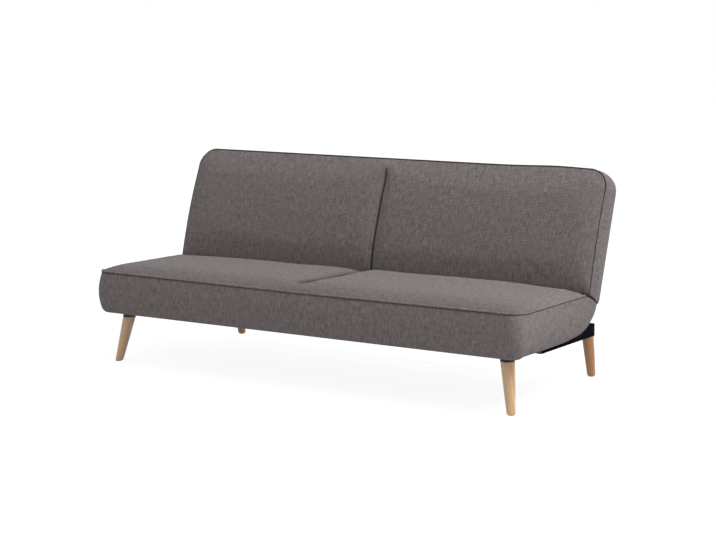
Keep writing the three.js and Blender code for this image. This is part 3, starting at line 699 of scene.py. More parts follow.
@dataclass(frozen=True)
class CushionShape:
    """A box cushion in its own frame: x along the sofa, q inwards from its rounded side and
    h up from its under face to its welted face.

    The upper and lower lines are the q and h of the welted and the under face's outline.
    The crowns are the x and h of the face's swell at the rounded side and at the far one,
    and the rolls say how soon it swells from the rounded side, the far side and the ends.
    The bulges are those of the sides, and the sags those of the welt."""

    half_length: float
    upper: Line
    lower: Line
    near_crown: Line
    far_crown: Line
    rolls: tuple[float, float, float]
    corner_radius: float
    edge_radius: float
    side_bulge: float
    end_bulge: float
    corner_bulge: float
    unevenness: float
    cells: tuple[int, int, int]
    corner_edge: float = 0.0
    end_sag: float = 0.0
    front_sag: float = 0.0
    low_tilt: float = 0.0
    thin_swell: float = 1.0
    end_lift: float = 0.0
    flare: float = 0.0

    @property
    def length(self) -> float:
        """How long the welted face is from the rounded side to the far one."""
        return self.upper[-1][0]

    @staticmethod
    def rise(depth: np.ndarray, width: float) -> np.ndarray:
        """How much of the full crown stands at a distance from an edge."""
        return np.sqrt(np.maximum(1 - (1 - np.clip(depth / width, 0, 1)) ** 2, 0))

    def crown_at(self, x: np.ndarray, share: np.ndarray) -> np.ndarray:
        """How far the welted face stands up over its welt.

        Args:
            x: Places along the sofa.
            share: Places along the face, as shares of its length.

        Returns:
            The heights.
        """
        near, far, end = self.rolls
        near_tall, far_tall = (np.interp(x, *SmoothLine(line).samples.T)
                               for line in (self.near_crown, self.far_crown))
        tall = near_tall + (far_tall - near_tall) * share
        sat = (np.sin(9.1 * x + 1.7 * np.sin(4.3 * share + 0.6)) * np.sin(6.1 * share + 0.9)
               + 0.6 * np.sin(23.0 * x + 2.1 * np.cos(7.0 * share)) * np.sin(12.7 * share + 0.4))
        full = (self.rise(share * self.length, near) * self.rise((1 - share) * self.length, far)
                * self.rise(self.half_length - np.abs(x), end))
        return (tall + self.unevenness * sat) * full

    def place(self, unit: np.ndarray) -> np.ndarray:
        """Bend the unit box into the cushion.

        Args:
            unit: Points of the box from -1 to 1, one in each row.

        Returns:
            The same points in the cushion's frame.
        """
        upper, lower = SmoothLine(self.upper), SmoothLine(self.lower)
        share, level = (unit[:, 1] + 1) / 2, (unit[:, 2] + 1) / 2
        x = self.half_length * unit[:, 0]
        upper_q, upper_h = upper.at(share)
        lower_q, lower_h = lower.at(share)
        from_end = self.half_length - np.abs(x)
        lower_h = (lower_h + self.end_lift * np.exp(-(from_end / 0.03) ** 2)
                   + self.low_tilt * unit[:, 0] * np.clip(1 - lower_q / 0.04, 0, 1))
        upper_h = upper_h - (self.end_sag * smooth((share - 0.03) / 0.12)
                             * (1 - np.clip(from_end / 0.020, 0, 1)) ** 2
                             + self.front_sag * (1 - unit[:, 0] ** 2) ** 2
                             * (1 - np.clip(upper_q / 0.05, 0, 1)) ** 2)
        q = lower_q + (upper_q - lower_q) * level
        tall = upper_h - lower_h
        height = tall * level
        on_border = (np.abs(unit[:, 0]) > 1 - TINY) | (share < TINY)
        on_under = level < TINY
        crown = np.where(level > 1 - TINY, self.crown_at(x, share), 0.0)

        radius, side = self.corner_radius, np.where(unit[:, 0] < 0, -1.0, 1.0)
        p = from_end
        in_corner = (p < radius) & (q < radius)
        a, b = 1 - p / radius, 1 - q / radius
        turn_a = a * np.sqrt(np.maximum(1 - b * b / 2, 0))
        turn_b = b * np.sqrt(np.maximum(1 - a * a / 2, 0))
        reach = np.hypot(turn_a, turn_b)
        p = np.where(in_corner, radius * (1 - turn_a), p)
        q = np.where(in_corner, radius * (1 - turn_b), q)
        depth = np.where(in_corner, radius * (1 - reach), np.minimum(p, q))
        near_end = p < q
        out_p = np.where(in_corner, turn_a / np.maximum(reach, 1e-9), np.where(near_end, 1.0, 0.0))
        out_q = np.where(in_corner, turn_b / np.maximum(reach, 1e-9), np.where(near_end, 0.0, 1.0))
        cornerness = np.where(in_corner, 2 * out_p * out_q, 0.0)

        edge = self.edge_radius + self.corner_edge * cornerness
        quarter = math.pi / 4
        side_angle = quarter * (1 - np.minimum(height / edge, 1))
        under_angle = quarter * (1 + np.minimum(depth / edge, 1))
        angle = np.where(on_border, side_angle, under_angle)
        rounding = (on_border & (height < edge)) | (on_under & ~on_border & (depth < edge))
        inset = np.where(rounding, edge * (1 - np.cos(angle)), np.where(on_border, 0.0, depth))
        lift = edge * (1 - np.sin(angle))
        height = np.where(rounding, lift, height)
        flat = self.side_bulge * out_q ** 2 + self.end_bulge * out_p ** 2
        bulge = flat + (self.corner_bulge - flat) * cornerness
        swell = bulge * np.sin(math.pi * level) * (tall / tall.max()) ** self.thin_swell
        shift = inset - depth - np.where(on_border, swell, 0.0)
        p = p + shift * out_p - self.flare * (1 - level) * np.clip(1 - p / 0.1, 0, 1)
        q = q + shift * out_q
        return np.stack([side * (self.half_length - p), q, lower_h + height + crown], 1)

    def cloth_map(self, unit: np.ndarray, centre: np.ndarray) -> np.ndarray:
        """Where corners of the box's faces lie on the flat cloth.

        Args:
            unit: Corners on the unit box, one in each row.
            centre: The middle of each corner's face.

        Returns:
            Places on the cloth in metres, one in each row.
        """
        length = SmoothLine(self.upper).length
        tall = self.upper[0][1] - self.lower[0][1]
        along = (unit[:, 1] + 1) / 2 * length
        level = (unit[:, 2] + 1) / 2 * tall
        on_end = np.abs(centre[:, 0]) > 1 - TINY
        flat = np.abs(centre[:, 2]) > 1 - TINY
        across = self.half_length * unit[:, 0]
        round_end = np.sign(unit[:, 0]) * (self.half_length + along)
        return np.stack([np.where(on_end, round_end, across), np.where(flat, along, level)], 1)


@dataclass(frozen=True)
class Groove:
    """A sewn line across a cushion's welted face near the middle of its length. Left and
    right of it the face may rise again, and painted shade may darken the crease, over
    different widths."""

    valley_depth: float
    valley_widths: tuple[float, float]
    slit_depth: float
    slit_width: float
    start: float
    end: float
    shade_widths: tuple[float, float]
    place: float
    slant: float

    def off_at(self, x: np.ndarray, share: np.ndarray) -> np.ndarray:
        """How far points lie to the right of the line."""
        return x - self.place - self.slant * (0.5 - share)

    def hold_at(self, share: np.ndarray) -> np.ndarray:
        """How firmly the line is drawn in, from nought to one along the face."""
        return smooth((share - self.start) / (self.end - self.start))

    def depth_at(self, x: np.ndarray, share: np.ndarray) -> np.ndarray:
        """How far the sewn line draws the face in.

        Args:
            x: Places along the sofa.
            share: Places along the face, as shares of its length.

        Returns:
            The depths.
        """
        off, hold = self.off_at(x, share), self.hold_at(share)
        width = np.where(off < 0, *self.valley_widths)
        valley = self.valley_depth * np.exp(-(np.abs(off) / width) ** 1.25)
        slit = self.slit_depth * np.exp(-(off / self.slit_width) ** 2)
        return hold * valley + np.sqrt(hold) * slit

    def shade_at(self, x: np.ndarray, share: np.ndarray) -> np.ndarray:
        """How much painted shade darkens the line's crease."""
        off = self.off_at(x, share)
        width = np.where(off < 0, *self.shade_widths)
        return np.exp(-(off / width) ** 2) * self.hold_at(share) ** 0.5


@dataclass
class Cushion:
    """A foam cushion in a sewn cover, with its welt. Painted shade darkens the face towards
    its near edge, and the ends by a share that runs from their near to their far corner."""

    name: str
    body: Body
    shape: CushionShape
    groove: Groove
    welt_radius: float
    stands_for: tuple[str, ...]
    pressure: float = 4.0
    slack: float = 0.002
    gather: float = 0.5
    settling: float = 0.006
    settling_steps: int = 20
    # Painted shade: how dark the face is at its near edge and how far that reaches, and how dark
    # the ends are at their near and far corners.
    painted_edge_shade: float = 0.0
    painted_shade_reach: float = 0.10
    painted_end_shade: tuple[float, float] = (0.0, 0.0)
    fine_columns: tuple[float, ...] = (0.0, 0.0013, 0.003, 0.006, 0.011, 0.018, 0.026)
    slot_reach: tuple[float, float] = (0.7995, 0.8244)

    def to_frame(self, local: np.ndarray) -> np.ndarray:
        """Carry points from the cushion's own frame to the shared one."""
        raise NotImplementedError

    def mirrored(self) -> bool:
        """Whether to_frame turns the mesh inside out."""
        return False

    def cutters(self) -> list[bpy.types.Mesh]:
        """The rooms that are cut out of the cushion for the hinges and the lining."""
        raise NotImplementedError

    def slots(self, outline: Line) -> list[bpy.types.Mesh]:
        """Cutters for the slots of both hinges, from their outline across the sofa."""
        inner, outer = self.slot_reach
        return [prism([(side * inner, y, z) for y, z in outline],
                      (side * (outer - inner), 0.0, 0.0)) for side in (-1, 1)]

    def shell(self) -> tuple[bpy.types.Mesh, np.ndarray]:
        """Build the cover's base mesh in the cushion's own frame, with its cloth map.

        Returns:
            The mesh, with the unit box's coordinates kept in an attribute, and the points
            that seams and frame hold.
        """
        mesh = box_grid(self.shape.cells)
        unit = read_points(mesh)
        for axis in (0, 1):
            unit[:, axis] += self.gather * np.sin(math.pi * unit[:, axis]) / math.pi
        kept = mesh.attributes.new("unit", "FLOAT_VECTOR", "POINT")
        kept.data.foreach_set("vector", unit.ravel())
        corner = read_rows(mesh.loops, "vertex_index", 1, int)[:, 0]
        corners = unit[corner].reshape(-1, 4, 3)
        centre = np.repeat(corners.mean(1), 4, 0)
        cloth = mesh.uv_layers.new(name="cloth")
        cloth.uv.foreach_set("vector", self.shape.cloth_map(unit[corner], centre).ravel())

        ends = read_rows(mesh.edges, "vertices", 2, int)
        top, low = unit[:, 2] > 1 - TINY, unit[:, 2] < -1 + TINY
        tip, rear = np.abs(unit[:, 0]) > 1 - TINY, unit[:, 1] > 1 - TINY
        rim = tip | (unit[:, 1] < -1 + TINY)
        sewn_edge = top[ends].all(1) & rim[ends].all(1)
        mitre_edge = rear[ends].all(1) & (top[ends].all(1) | low[ends].all(1) | tip[ends].all(1))
        crease = mesh.attributes.new("crease_edge", "FLOAT", "EDGE")
        crease.data.foreach_set("value", np.where(mitre_edge, 0.9, np.where(sewn_edge, 0.75, 0.0)))
        local = self.shape.place(unit)
        write_points(mesh, local)
        hold = self.groove.hold_at((unit[:, 1] + 1) / 2)
        in_groove = top & (np.abs(local[:, 0] - self.groove.place) < 0.008) & (hold > 0.3)
        return mesh, np.flatnonzero(low | rear | (top & rim) | in_groove)

    def settle(self, rough: bpy.types.Object, sewn: np.ndarray) -> None:
        """Let the cover settle over its filling as cloth, and keep the result in its mesh.

        Args:
            rough: The cover's base piece.
            sewn: The points that seams and frame hold.
        """
        group = rough.vertex_groups.new(name="sewn")
        group.add(sewn.tolist(), 1.0, "REPLACE")
        cloth = rough.modifiers.new("settle", "CLOTH")
        rules = cloth.settings
        rules.quality, rules.mass = 5, 0.02
        rules.tension_stiffness = rules.compression_stiffness = 12.0
        rules.shear_stiffness, rules.bending_stiffness = 4.0, 0.4
        rules.use_pressure, rules.uniform_pressure_force = True, self.pressure
        rules.vertex_group_mass = group.name
        rules.shrink_min = -self.slack
        rules.effector_weights.gravity = 0.0
        cloth.point_cache.frame_start, cloth.point_cache.frame_end = 1, self.settling_steps
        before = read_points(rough.data)
        for step in range(1, self.settling_steps + 1):
            bpy.context.scene.frame_set(step)
        settled = rough.evaluated_get(bpy.context.evaluated_depsgraph_get())
        after = read_points(settled.to_mesh())
        settled.to_mesh_clear()
        rough.modifiers.remove(cloth)
        rough.vertex_groups.clear()
        bpy.context.scene.frame_set(1)
        shift = after - before
        far = np.linalg.norm(shift, axis=1, keepdims=True)
        shift *= np.minimum(1, self.settling / np.maximum(far, 1e-9))
        write_points(rough.data, before + shift)
        log.info("%s settled by %.1f mm at most, %.1f mm on average", self.name,
                 1000 * far.max(), 1000 * far.mean())

    def refine(self, rough: bpy.types.Object) -> bpy.types.Mesh:
        """Smooth the cover and give it columns of its own along the groove.

        Args:
            rough: The cover's base piece, which is dropped.

        Returns:
            The finer mesh.
        """
        finer = rough.modifiers.new("finer", "SUBSURF")
        finer.levels = finer.render_levels = 1
        work = bmesh.new()
        work.from_mesh(finished_mesh(rough))
        length = self.shape.length
        for offset in sorted({side * far for far in self.fine_columns for side in (-1, 1)}):
            bmesh.ops.bisect_plane(work, geom=[*work.verts, *work.edges, *work.faces],
                                   dist=TINY, plane_no=(1, self.groove.slant / length, 0),
                                   plane_co=(self.groove.place + offset, length / 2, 0))
        return mesh_of(work, self.name)

    def draw_in(self, mesh: bpy.types.Mesh) -> None:
        """Sew the groove into the face, paint shade onto it, and carry the mesh to the shared
        frame.

        Args:
            mesh: The cover's mesh, which keeps its painted shade in an attribute.
        """
        local = read_points(mesh)
        unit = read_rows(mesh.attributes["unit"].data, "vector", 3)
        share = (unit[:, 1] + 1) / 2
        on_face = np.clip((unit[:, 2] - 0.97) / 0.03, 0, 1)
        on_end = np.clip((np.abs(unit[:, 0]) - 0.97) / 0.03, 0, 1) * (1 - on_face)
        local[:, 2] -= self.groove.depth_at(local[:, 0], share) * on_face
        write_points(mesh, self.to_frame(local))
        # Painted shade, kept in the seam attribute: the groove's crease, the face towards its near
        # edge, and the ends from their near to their far corner.
        edge_shade = self.painted_edge_shade * np.exp(-share * self.shape.length / self.painted_shade_reach)
        face_shade = np.maximum(self.groove.shade_at(local[:, 0], share), edge_shade)
        seam = mesh.attributes.new("seam", "FLOAT", "POINT")
        seam.data.foreach_set("value", on_end * np.interp(share, (0, 1), self.painted_end_shade)
                              + on_face * face_shade)
        if self.mirrored():
            mesh.flip_normals()

    def build(self, finishes: Finishes) -> None:
        """Make the cover and its welt.

        Args:
            finishes: The materials.
        """
        base, sewn = self.shell()
        rough = new_object(self.name + "_rough", base)
        self.settle(rough, sewn)
        mesh = self.refine(rough)
        self.draw_in(mesh)
        cover = new_piece(self.name, carve(mesh, self.cutters()), finishes.cover, self.body,
                          sharp=50.0)
        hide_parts(*self.stands_for)
        self.build_welt(finishes)

    def welt_line(self) -> np.ndarray:
        """The line that the welt follows round the face, in the shared frame."""
        ends = np.linspace(1, -1, 60)[:, None]
        side = np.linspace(-1, 1, 220)[1:-1, None]
        ones = np.ones_like
        unit = np.vstack([
            np.hstack([-ones(ends), ends, ones(ends)]),
            np.hstack([side, -ones(side), ones(side)]),
            np.hstack([ones(ends), ends[::-1], ones(ends)]),
        ])
        return self.to_frame(self.shape.place(unit))

    def build_welt(self, finishes: Finishes) -> None:
        """Lay the welt along the edge of the face."""
        raise NotImplementedError


@dataclass
class SeatCushion(Cushion):
    """The long seat, whose under side sweeps up at the rear to the hinge line."""

    name: str = "seat_upholstery"
    body: Body = Body.BASE
    shape: CushionShape = CushionShape(
        half_length=0.900,
        upper=((0.0, 0.145), (0.10, 0.145), (0.22, 0.145), (0.34, 0.145), (0.44, 0.1448),
               (0.47, 0.1436), (0.4888, 0.1391)),
        lower=((0.0, -0.0070), (0.018, -0.0066), (0.031, -0.0042), (0.041, -0.0010),
               (0.052, 0.0001), (0.12, 0.0), (0.183, 0.0), (0.251, 0.0004), (0.321, 0.0010),
               (0.345, 0.0018), (0.392, 0.0060), (0.430, 0.0095), (0.449, 0.0130),
               (0.470, 0.0195), (0.489, 0.0280), (0.5160, 0.0455), (0.539, 0.0665),
               (0.5570, 0.0950)),
        near_crown=((-0.90, 0.0135), (-0.84, 0.0160), (-0.70, 0.0200), (-0.40, 0.0220),
                    (0.40, 0.0220), (0.70, 0.0200), (0.84, 0.0160), (0.90, 0.0135)),
        far_crown=((-0.90, 0.0045), (-0.80, 0.0095), (-0.60, 0.0155), (-0.42, 0.0165),
                   (-0.28, 0.0158), (-0.14, 0.0168), (0.0, 0.0180), (0.13, 0.0195),
                   (0.30, 0.0222), (0.44, 0.0238), (0.58, 0.0245), (0.68, 0.0218),
                   (0.78, 0.0172), (0.84, 0.0145), (0.90, 0.0085)),
        rolls=(0.120, 0.045, 0.024), corner_radius=0.040, edge_radius=0.013,
        corner_edge=0.004, side_bulge=0.007, end_bulge=0.011, corner_bulge=0.0145,
        unevenness=0.0011, cells=(168, 44, 12), end_sag=0.0050, front_sag=0.0028,
        low_tilt=0.0014, thin_swell=0.35, end_lift=-0.0008)
    groove: Groove = Groove(valley_depth=0.0140, valley_widths=(0.060, 0.018),
                            slit_depth=0.010, slit_width=0.008, start=0.04, end=0.42,
                            shade_widths=(0.032, 0.006), place=-0.003, slant=-0.030)
    # Painted shade near the front welt, and on the ends towards the rear.
    painted_edge_shade: float = 0.38
    painted_end_shade: tuple[float, float] = (0.0, 0.14)
    welt_radius: float = 0.0013
    stands_for: tuple[str, ...] = ("seat_cover", "seat_foam")
    floor: float = 0.196
    roll_radius: float = 0.0034
    roll_inset: float = 0.0012
    roll_rise: float = 0.0037
    mouth: tuple[float, float, float] = (0.8550, 0.0450, 0.3175)
    mouth_depth: float = 0.0046
    slot_outline: Line = ((0.5052, 0.150), (0.600, 0.150), (0.600, 0.400), (0.5166, 0.400),
                          (0.5166, 0.3123), (0.5052, 0.3123))

    def to_frame(self, local: np.ndarray) -> np.ndarray:
        """Carry points from the cushion's own frame to the shared one."""
        return local + np.array([0.0, FRONT_WELT, self.floor])

    def cutters(self) -> list[bpy.types.Mesh]:
        """The hinge slots and the shallow mouth under the seat that the dust cover closes."""
        half, near, far = self.mouth
        front, rear, spare = near + FRONT_WELT, far + FRONT_WELT, 0.02
        low = self.floor - spare
        mouth = prism([(-half, front, low), (half, front, low), (half, rear, low),
                       (-half, rear, low)], (0.0, 0.0, spare + self.mouth_depth))
        return [*self.slots([(y + FRONT_WELT, z) for y, z in self.slot_outline]), mouth]

    def build_welt(self, finishes: Finishes) -> None:
        """Lay the dark seam, which is partly painted shade, along the top edge, with the rolled
        edge of the top behind it.
        """
        line = self.welt_line()
        new_piece("seat_welt", swept_tube("seat_welt", line, self.welt_radius),
                  finishes.soft_piping, self.body)
        inwards = np.cross((0.0, 0.0, 1.0), np.gradient(line, axis=0))
        inwards /= np.linalg.norm(inwards, axis=1, keepdims=True)
        line = line + self.roll_inset * inwards + np.array([0.0, 0.0, self.roll_rise])
        # The roll stops short of the seam's ends, where the backrest leans forwards.
        new_piece("seat_edge_roll", swept_tube("seat_edge_roll", line[3:-3], self.roll_radius),
                  finishes.cover, self.body)


@dataclass
class BackCushion(Cushion):
    """The long backrest, sewn in two halves with a seam down its middle."""

    name: str = "back_upholstery"
    body: Body = Body.BACKREST
    shape: CushionShape = CushionShape(
        half_length=0.8998,
        upper=tuple((q, 0.076 + 0.010 * math.sin(math.pi * q / 0.4325))
                    for q in (0.0, 0.055, 0.11, 0.165, 0.22, 0.275, 0.33, 0.385, 0.4325)),
        lower=((0.0, 0.0), (0.15, 0.0), (0.30, 0.0), (0.421, 0.0), (0.4442, 0.0006),
               (0.4561, 0.0071)),
        near_crown=((-0.90, 0.014), (0.90, 0.014)), far_crown=((-0.90, 0.013), (0.90, 0.013)),
        rolls=(0.10, 0.12, 0.11), corner_radius=0.068, edge_radius=0.0035, side_bulge=0.004,
        end_bulge=0.006, corner_bulge=0.006, unevenness=0.0007, cells=(152, 40, 8),
        flare=0.0045)
    groove: Groove = Groove(valley_depth=0.010, valley_widths=(0.036, 0.030),
                            slit_depth=0.008, slit_width=0.0028, start=0.082, end=0.19,
                            shade_widths=(0.003, 0.003), place=-0.0035, slant=0.0054)
    # Painted shade on the ends, even along them.
    painted_end_shade: tuple[float, float] = (0.14, 0.14)
    welt_radius: float = 0.0023
    side_welt_radius: float = 0.0013
    left_taper: float = 0.0110
    stands_for: tuple[str, ...] = ("back_cover", "back_foam")
    crevice: tuple[float, float] = (0.129114, 0.341)
    tilt: float = math.radians(18.3)
    face_length: float = 0.4325
    thickness: float = 0.076
    top_rise: float = 0.0050
    rise_place: float = 0.700
    rise_width: float = 0.130
    mouth: tuple[float, float, float] = (0.8580, 0.0450, 0.3695)
    lining_face: float = 0.0712
    slot_front: float = 0.0287
    # Cutters end this far behind the front face, where they are clear of the cushion.
    clear: float = 0.100

    def in_frame(self, x: float, rear: float, up: float) -> tuple[float, float, float]:
        """Carry places along, through and up the backrest to the shared frame."""
        cos, sin = math.cos(self.tilt), math.sin(self.tilt)
        return (x, self.crevice[0] + rear * cos + up * sin,
                self.crevice[1] - rear * sin + up * cos)

    def to_frame(self, local: np.ndarray) -> np.ndarray:
        """Carry points from the cushion's own frame to the shared one."""
        x, up = local[:, 0], self.face_length - local[:, 1]
        rise = self.top_rise * np.exp(-((x - self.rise_place) / self.rise_width) ** 2)
        share = np.clip(up / self.face_length, 0, 1)
        drawn_in = self.left_taper * share ** 1.4 * np.clip((-x - 0.4) / 0.5, 0, 1)
        return np.stack(self.in_frame(x + drawn_in, self.thickness - local[:, 2],
                                      up + rise * share ** 2), 1)

    def mirrored(self) -> bool:
        """Whether to_frame turns the mesh inside out."""
        return True

    def cutters(self) -> list[bpy.types.Mesh]:
        """The hinge slots and the shallow mouth at the rear that the lining closes."""
        slot = ((self.slot_front, -0.060), (self.clear, -0.060), (self.clear, 0.010),
                (self.slot_front, 0.010))
        half, low, high = self.mouth
        corners = ((-half, low), (half, low), (half, high), (-half, high))
        start, end = (self.in_frame(0.0, rear, 0.0) for rear in (self.lining_face, self.clear))
        mouth = prism([self.in_frame(x, self.lining_face, up) for x, up in corners],
                      [b - a for a, b in zip(start, end)])
        return [*self.slots([self.in_frame(0.0, *corner)[1:] for corner in slot]), mouth]

    def build_welt(self, finishes: Finishes) -> None:
        """Lay the dark piping along the top of the front face and a slim one down its ends."""
        line = self.welt_line()
        low = np.clip((0.70 - line[:, 2]) / 0.03, 0, 1)
        radius = self.welt_radius + (self.side_welt_radius - self.welt_radius) * low
        new_piece("back_piping", swept_tube("back_piping", line, radius),
                  finishes.dark_piping, self.body)


@dataclass(frozen=True)
class StapledLining:
    """A thin cloth stapled flat over the open side of a cushion's frame."""

    name: str
    node: str
    cushion: Cushion
    origin: tuple[float, float, float]
    along: tuple[float, float, float]
    outwards: tuple[float, float, float]
    width: float
    length: float
    sag: float
    thickness: float = 0.0005
    ripple: float = 0.0007
    staple_size: tuple[float, float, float] = (0.0120, 0.0009, 0.0006)
    staple_gap: float = 0.055
    staple_inset: float = 0.010
    staple_rise: float = 0.0002

    def to_frame(self, local: np.ndarray) -> np.ndarray:
        """Carry points along, up and out of the cloth to the shared frame, mirrored."""
        return local @ np.array([(1.0, 0.0, 0.0), self.along, self.outwards]) + self.origin

    def build(self, finishes: Finishes) -> None:
        """Stretch the cloth and staple it.

        Args:
            finishes: The materials.
        """
        work = bmesh.new()
        bmesh.ops.create_grid(work, x_segments=150, y_segments=30, size=1.0)
        mesh = mesh_of(work, self.name)
        u, v = read_points(mesh)[:, :2].T
        hang = self.sag * (1 - u ** 4) * (1 - v ** 2)
        ripple = self.ripple * np.sin(37 * u + 3 * v) * (1 - u ** 8) * np.abs(v) ** 3
        write_points(mesh, self.to_frame(
            np.stack([u * self.width / 2, v * self.length / 2, hang + ripple], 1)))
        sheet = new_object(self.name, mesh)
        wall = sheet.modifiers.new("thickness", "SOLIDIFY")
        wall.thickness, wall.offset = self.thickness, 0.0
        cloth = new_piece(self.name, finished_mesh(sheet), finishes.lining, self.cushion.body)
        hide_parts(self.node)
        self.build_staples(finishes)

    def build_staples(self, finishes: Finishes) -> None:
        """Drive a staple every few centimetres round the cloth's edge.

        Args:
            finishes: The materials.
        """
        half_x = self.width / 2 - self.staple_inset
        half_up = self.length / 2 - self.staple_inset
        long_way = np.arange(-half_x + self.staple_gap, half_x, self.staple_gap)
        short_way = np.arange(-half_up + self.staple_gap / 2, half_up, self.staple_gap)
        spots = [(x, side * half_up, 0.0) for x in long_way for side in (-1, 1)]
        spots += [(side * half_x, up, math.pi / 2) for up in short_way for side in (-1, 1)]
        work = bmesh.new()
        for x, up, turn in spots:
            wire = bmesh.ops.create_cube(work, size=1.0)["verts"]
            bmesh.ops.scale(work, verts=wire, vec=self.staple_size)
            bmesh.ops.rotate(work, verts=wire, matrix=Matrix.Rotation(turn, 3, "Z"))
            bmesh.ops.translate(work, verts=wire,
                                vec=(x, up, self.thickness / 2 + self.staple_rise))
        mesh = mesh_of(work, self.name + "_staples")
        write_points(mesh, self.to_frame(read_points(mesh)))
        mesh.flip_normals()
        new_piece(self.name + "_staples", mesh, finishes.zinc, self.cushion.body,
                  sharp=HARD_EDGE)


@dataclass(frozen=True)
class Leg:
    """A turned and tapered oak leg with level ends, whose foot stands out from its top. A
    front leg has a black collar on its top."""

    label: str
    top: tuple[float, float, float]
    foot: tuple[float, float, float]
    top_radius: float
    # How much painted shade darkens the leg, for the shade under the sofa.
    tone: float
    collar: float = 0.0
    foot_radius: float = 0.015
    foot_arris: Line = ((-0.0022, 0.0), (-0.0006, 0.0007), (0.0, 0.0024))

    def radius_at(self, height: float) -> float:
        """The leg's radius at a height over its foot."""
        share = height / (self.top[2] - self.foot[2])
        return self.foot_radius + (self.top_radius - self.foot_radius) * share

    def turned(self, name: str, profile: Sequence[tuple[float, float]]) -> bpy.types.Mesh:
        """Turn a profile round the leg's axis, then lean it.

        Args:
            name: The mesh's name.
            profile: Radius and height over the foot, from the lower to the upper pole.

        Returns:
            The closed mesh, with its grain, and its painted shade in the tone attribute.
        """
        work = bmesh.new()
        rim = [work.verts.new((r, 0.0, z)) for r, z in profile]
        edges = [work.edges.new(pair) for pair in zip(rim, rim[1:])]
        bmesh.ops.spin(work, geom=[*rim, *edges], cent=(0, 0, 0), axis=(0, 0, 1),
                       angle=math.tau, steps=48, use_merge=True, use_duplicate=False)
        bmesh.ops.remove_doubles(work, verts=work.verts, dist=TINY)
        bmesh.ops.recalc_face_normals(work, faces=work.faces)
        grain = work.verts.layers.float_vector.new("grain")
        tone = work.verts.layers.float.new("tone")
        low, high = Vector(self.foot), Vector(self.top)
        # Each leg is cut from its own place in the wood.
        seed = sum(ord(letter) for letter in self.label) * 0.37
        for vert in work.verts:
            vert[grain] = vert.co + Vector((seed, seed / 2, 0.0))
            vert[tone] = self.tone
            share = vert.co.z / (high.z - low.z)
            vert.co = Vector((vert.co.x, vert.co.y, 0.0)) + low.lerp(high, share)
        return mesh_of(work, name)

    def build(self, finishes: Finishes) -> None:
        """Make the leg and its collar.

        Args:
            finishes: The materials.
        """
        tall = self.top[2] - self.foot[2]
        wood = tall - self.collar
        profile = [(0.0, 0.0), *((self.foot_radius + r, z) for r, z in self.foot_arris)]
        profile += [(self.radius_at(wood * k / 13), wood * k / 13) for k in range(1, 13)]
        end = self.radius_at(wood)
        profile += [(end, wood - 0.0012), (end - 0.0010, wood), (0.0, wood)]
        leg = new_piece(f"turned_leg_{self.label}", self.turned("turned_leg", profile),
                        finishes.oak, Body.BASE, sharp=HARD_EDGE)
        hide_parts(f"leg_{self.label}")
        if self.collar:
            low, high = self.radius_at(wood) + 0.0007, self.radius_at(tall)
            ring = [(0.0, wood), (low - 0.0006, wood), (low, wood + 0.0008),
                    (high, tall - 0.0008), (high - 0.0008, tall), (0.0, tall)]
            new_piece(f"leg_collar_{self.label}", self.turned("leg_collar", ring),
                      finishes.plastic, Body.BASE, sharp=HARD_EDGE)


@dataclass(frozen=True)
class SoftenedPart:
    """A CAD part whose sharp corners are broken as its maker would break them."""

    node: str
    body: Body
    slot: str
    radius: float

    def build(self, material: bpy.types.Material) -> None:
        """Round the corners of a merged copy of the part.

        Args:
            material: Its finish.
        """
        work = bmesh.new()
        work.from_mesh(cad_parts[self.node].data)
        bmesh.ops.remove_doubles(work, verts=work.verts, dist=TINY)
        bmesh.ops.dissolve_limit(work, angle_limit=math.radians(0.5), verts=work.verts,
                                 edges=work.edges)
        corners = [edge for edge in work.edges
                   if edge.is_manifold and edge.calc_face_angle(0.0) > math.radians(40)]
        bmesh.ops.bevel(work, geom=corners, offset=self.radius, segments=2, profile=0.5,
                        affect="EDGES", material=-1, clamp_overlap=True)
        name = "softened_" + self.node
        part = new_piece(name, mesh_of(work, name), material, self.body,
                         sharp=HARD_EDGE)
        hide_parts(self.node)


@dataclass
class Base:
    """The steel base on its four legs, with the hinges' steel."""

    # The rear legs get painted shade through their tone, for the shade under the sofa.
    legs: tuple[Leg, ...] = (
        Leg("front_left", (-0.812, -0.287886, 0.1844), (-0.846, -0.319886, 0.0033), 0.025,
            tone=0.0, collar=0.016),
        Leg("front_right", (0.817, -0.287886, 0.1844), (0.850, -0.319886, 0.0033), 0.025,
            tone=0.0, collar=0.012),
        Leg("rear_left", (-0.787, 0.334114, 0.1497), (-0.790, 0.358114, 0.0033), 0.0215,
            tone=1.0),
        Leg("rear_right", (0.787, 0.334114, 0.1497), (0.790, 0.358114, 0.0033), 0.0215,
            tone=0.8),
    )
    coated_parts: tuple[SoftenedPart, ...] = (
        *(SoftenedPart(f"{part}_{side}", Body.BASE, "black_steel", radius)
          for side in ("left", "right")
          for part, radius in (("base_rail", 0.0018), ("leg_plate", 0.0006),
                               ("hinge_plate", 0.0005))),
        *(SoftenedPart(f"cross_tube_{end}", Body.BASE, "black_steel", 0.0018)
          for end in ("front", "rear")),
        *(SoftenedPart(f"hinge_arm_{side}", Body.BACKREST, "black_steel", 0.0005)
          for side in ("left", "right")),
    )
    caps: tuple[SoftenedPart, ...] = tuple(
        SoftenedPart(f"rail_cap_{end}_{side}", Body.BASE, "black_plastic", 0.0006)
        for end in ("front", "rear") for side in ("left", "right"))

    def build(self, finishes: Finishes) -> None:
        """Make the legs, the rails and the hinges' plates and arms."""
        for leg in self.legs:
            leg.build(finishes)
        for part in self.coated_parts:
            part.build(finishes.coated)
        for cap in self.caps:
            cap.build(finishes.plastic)


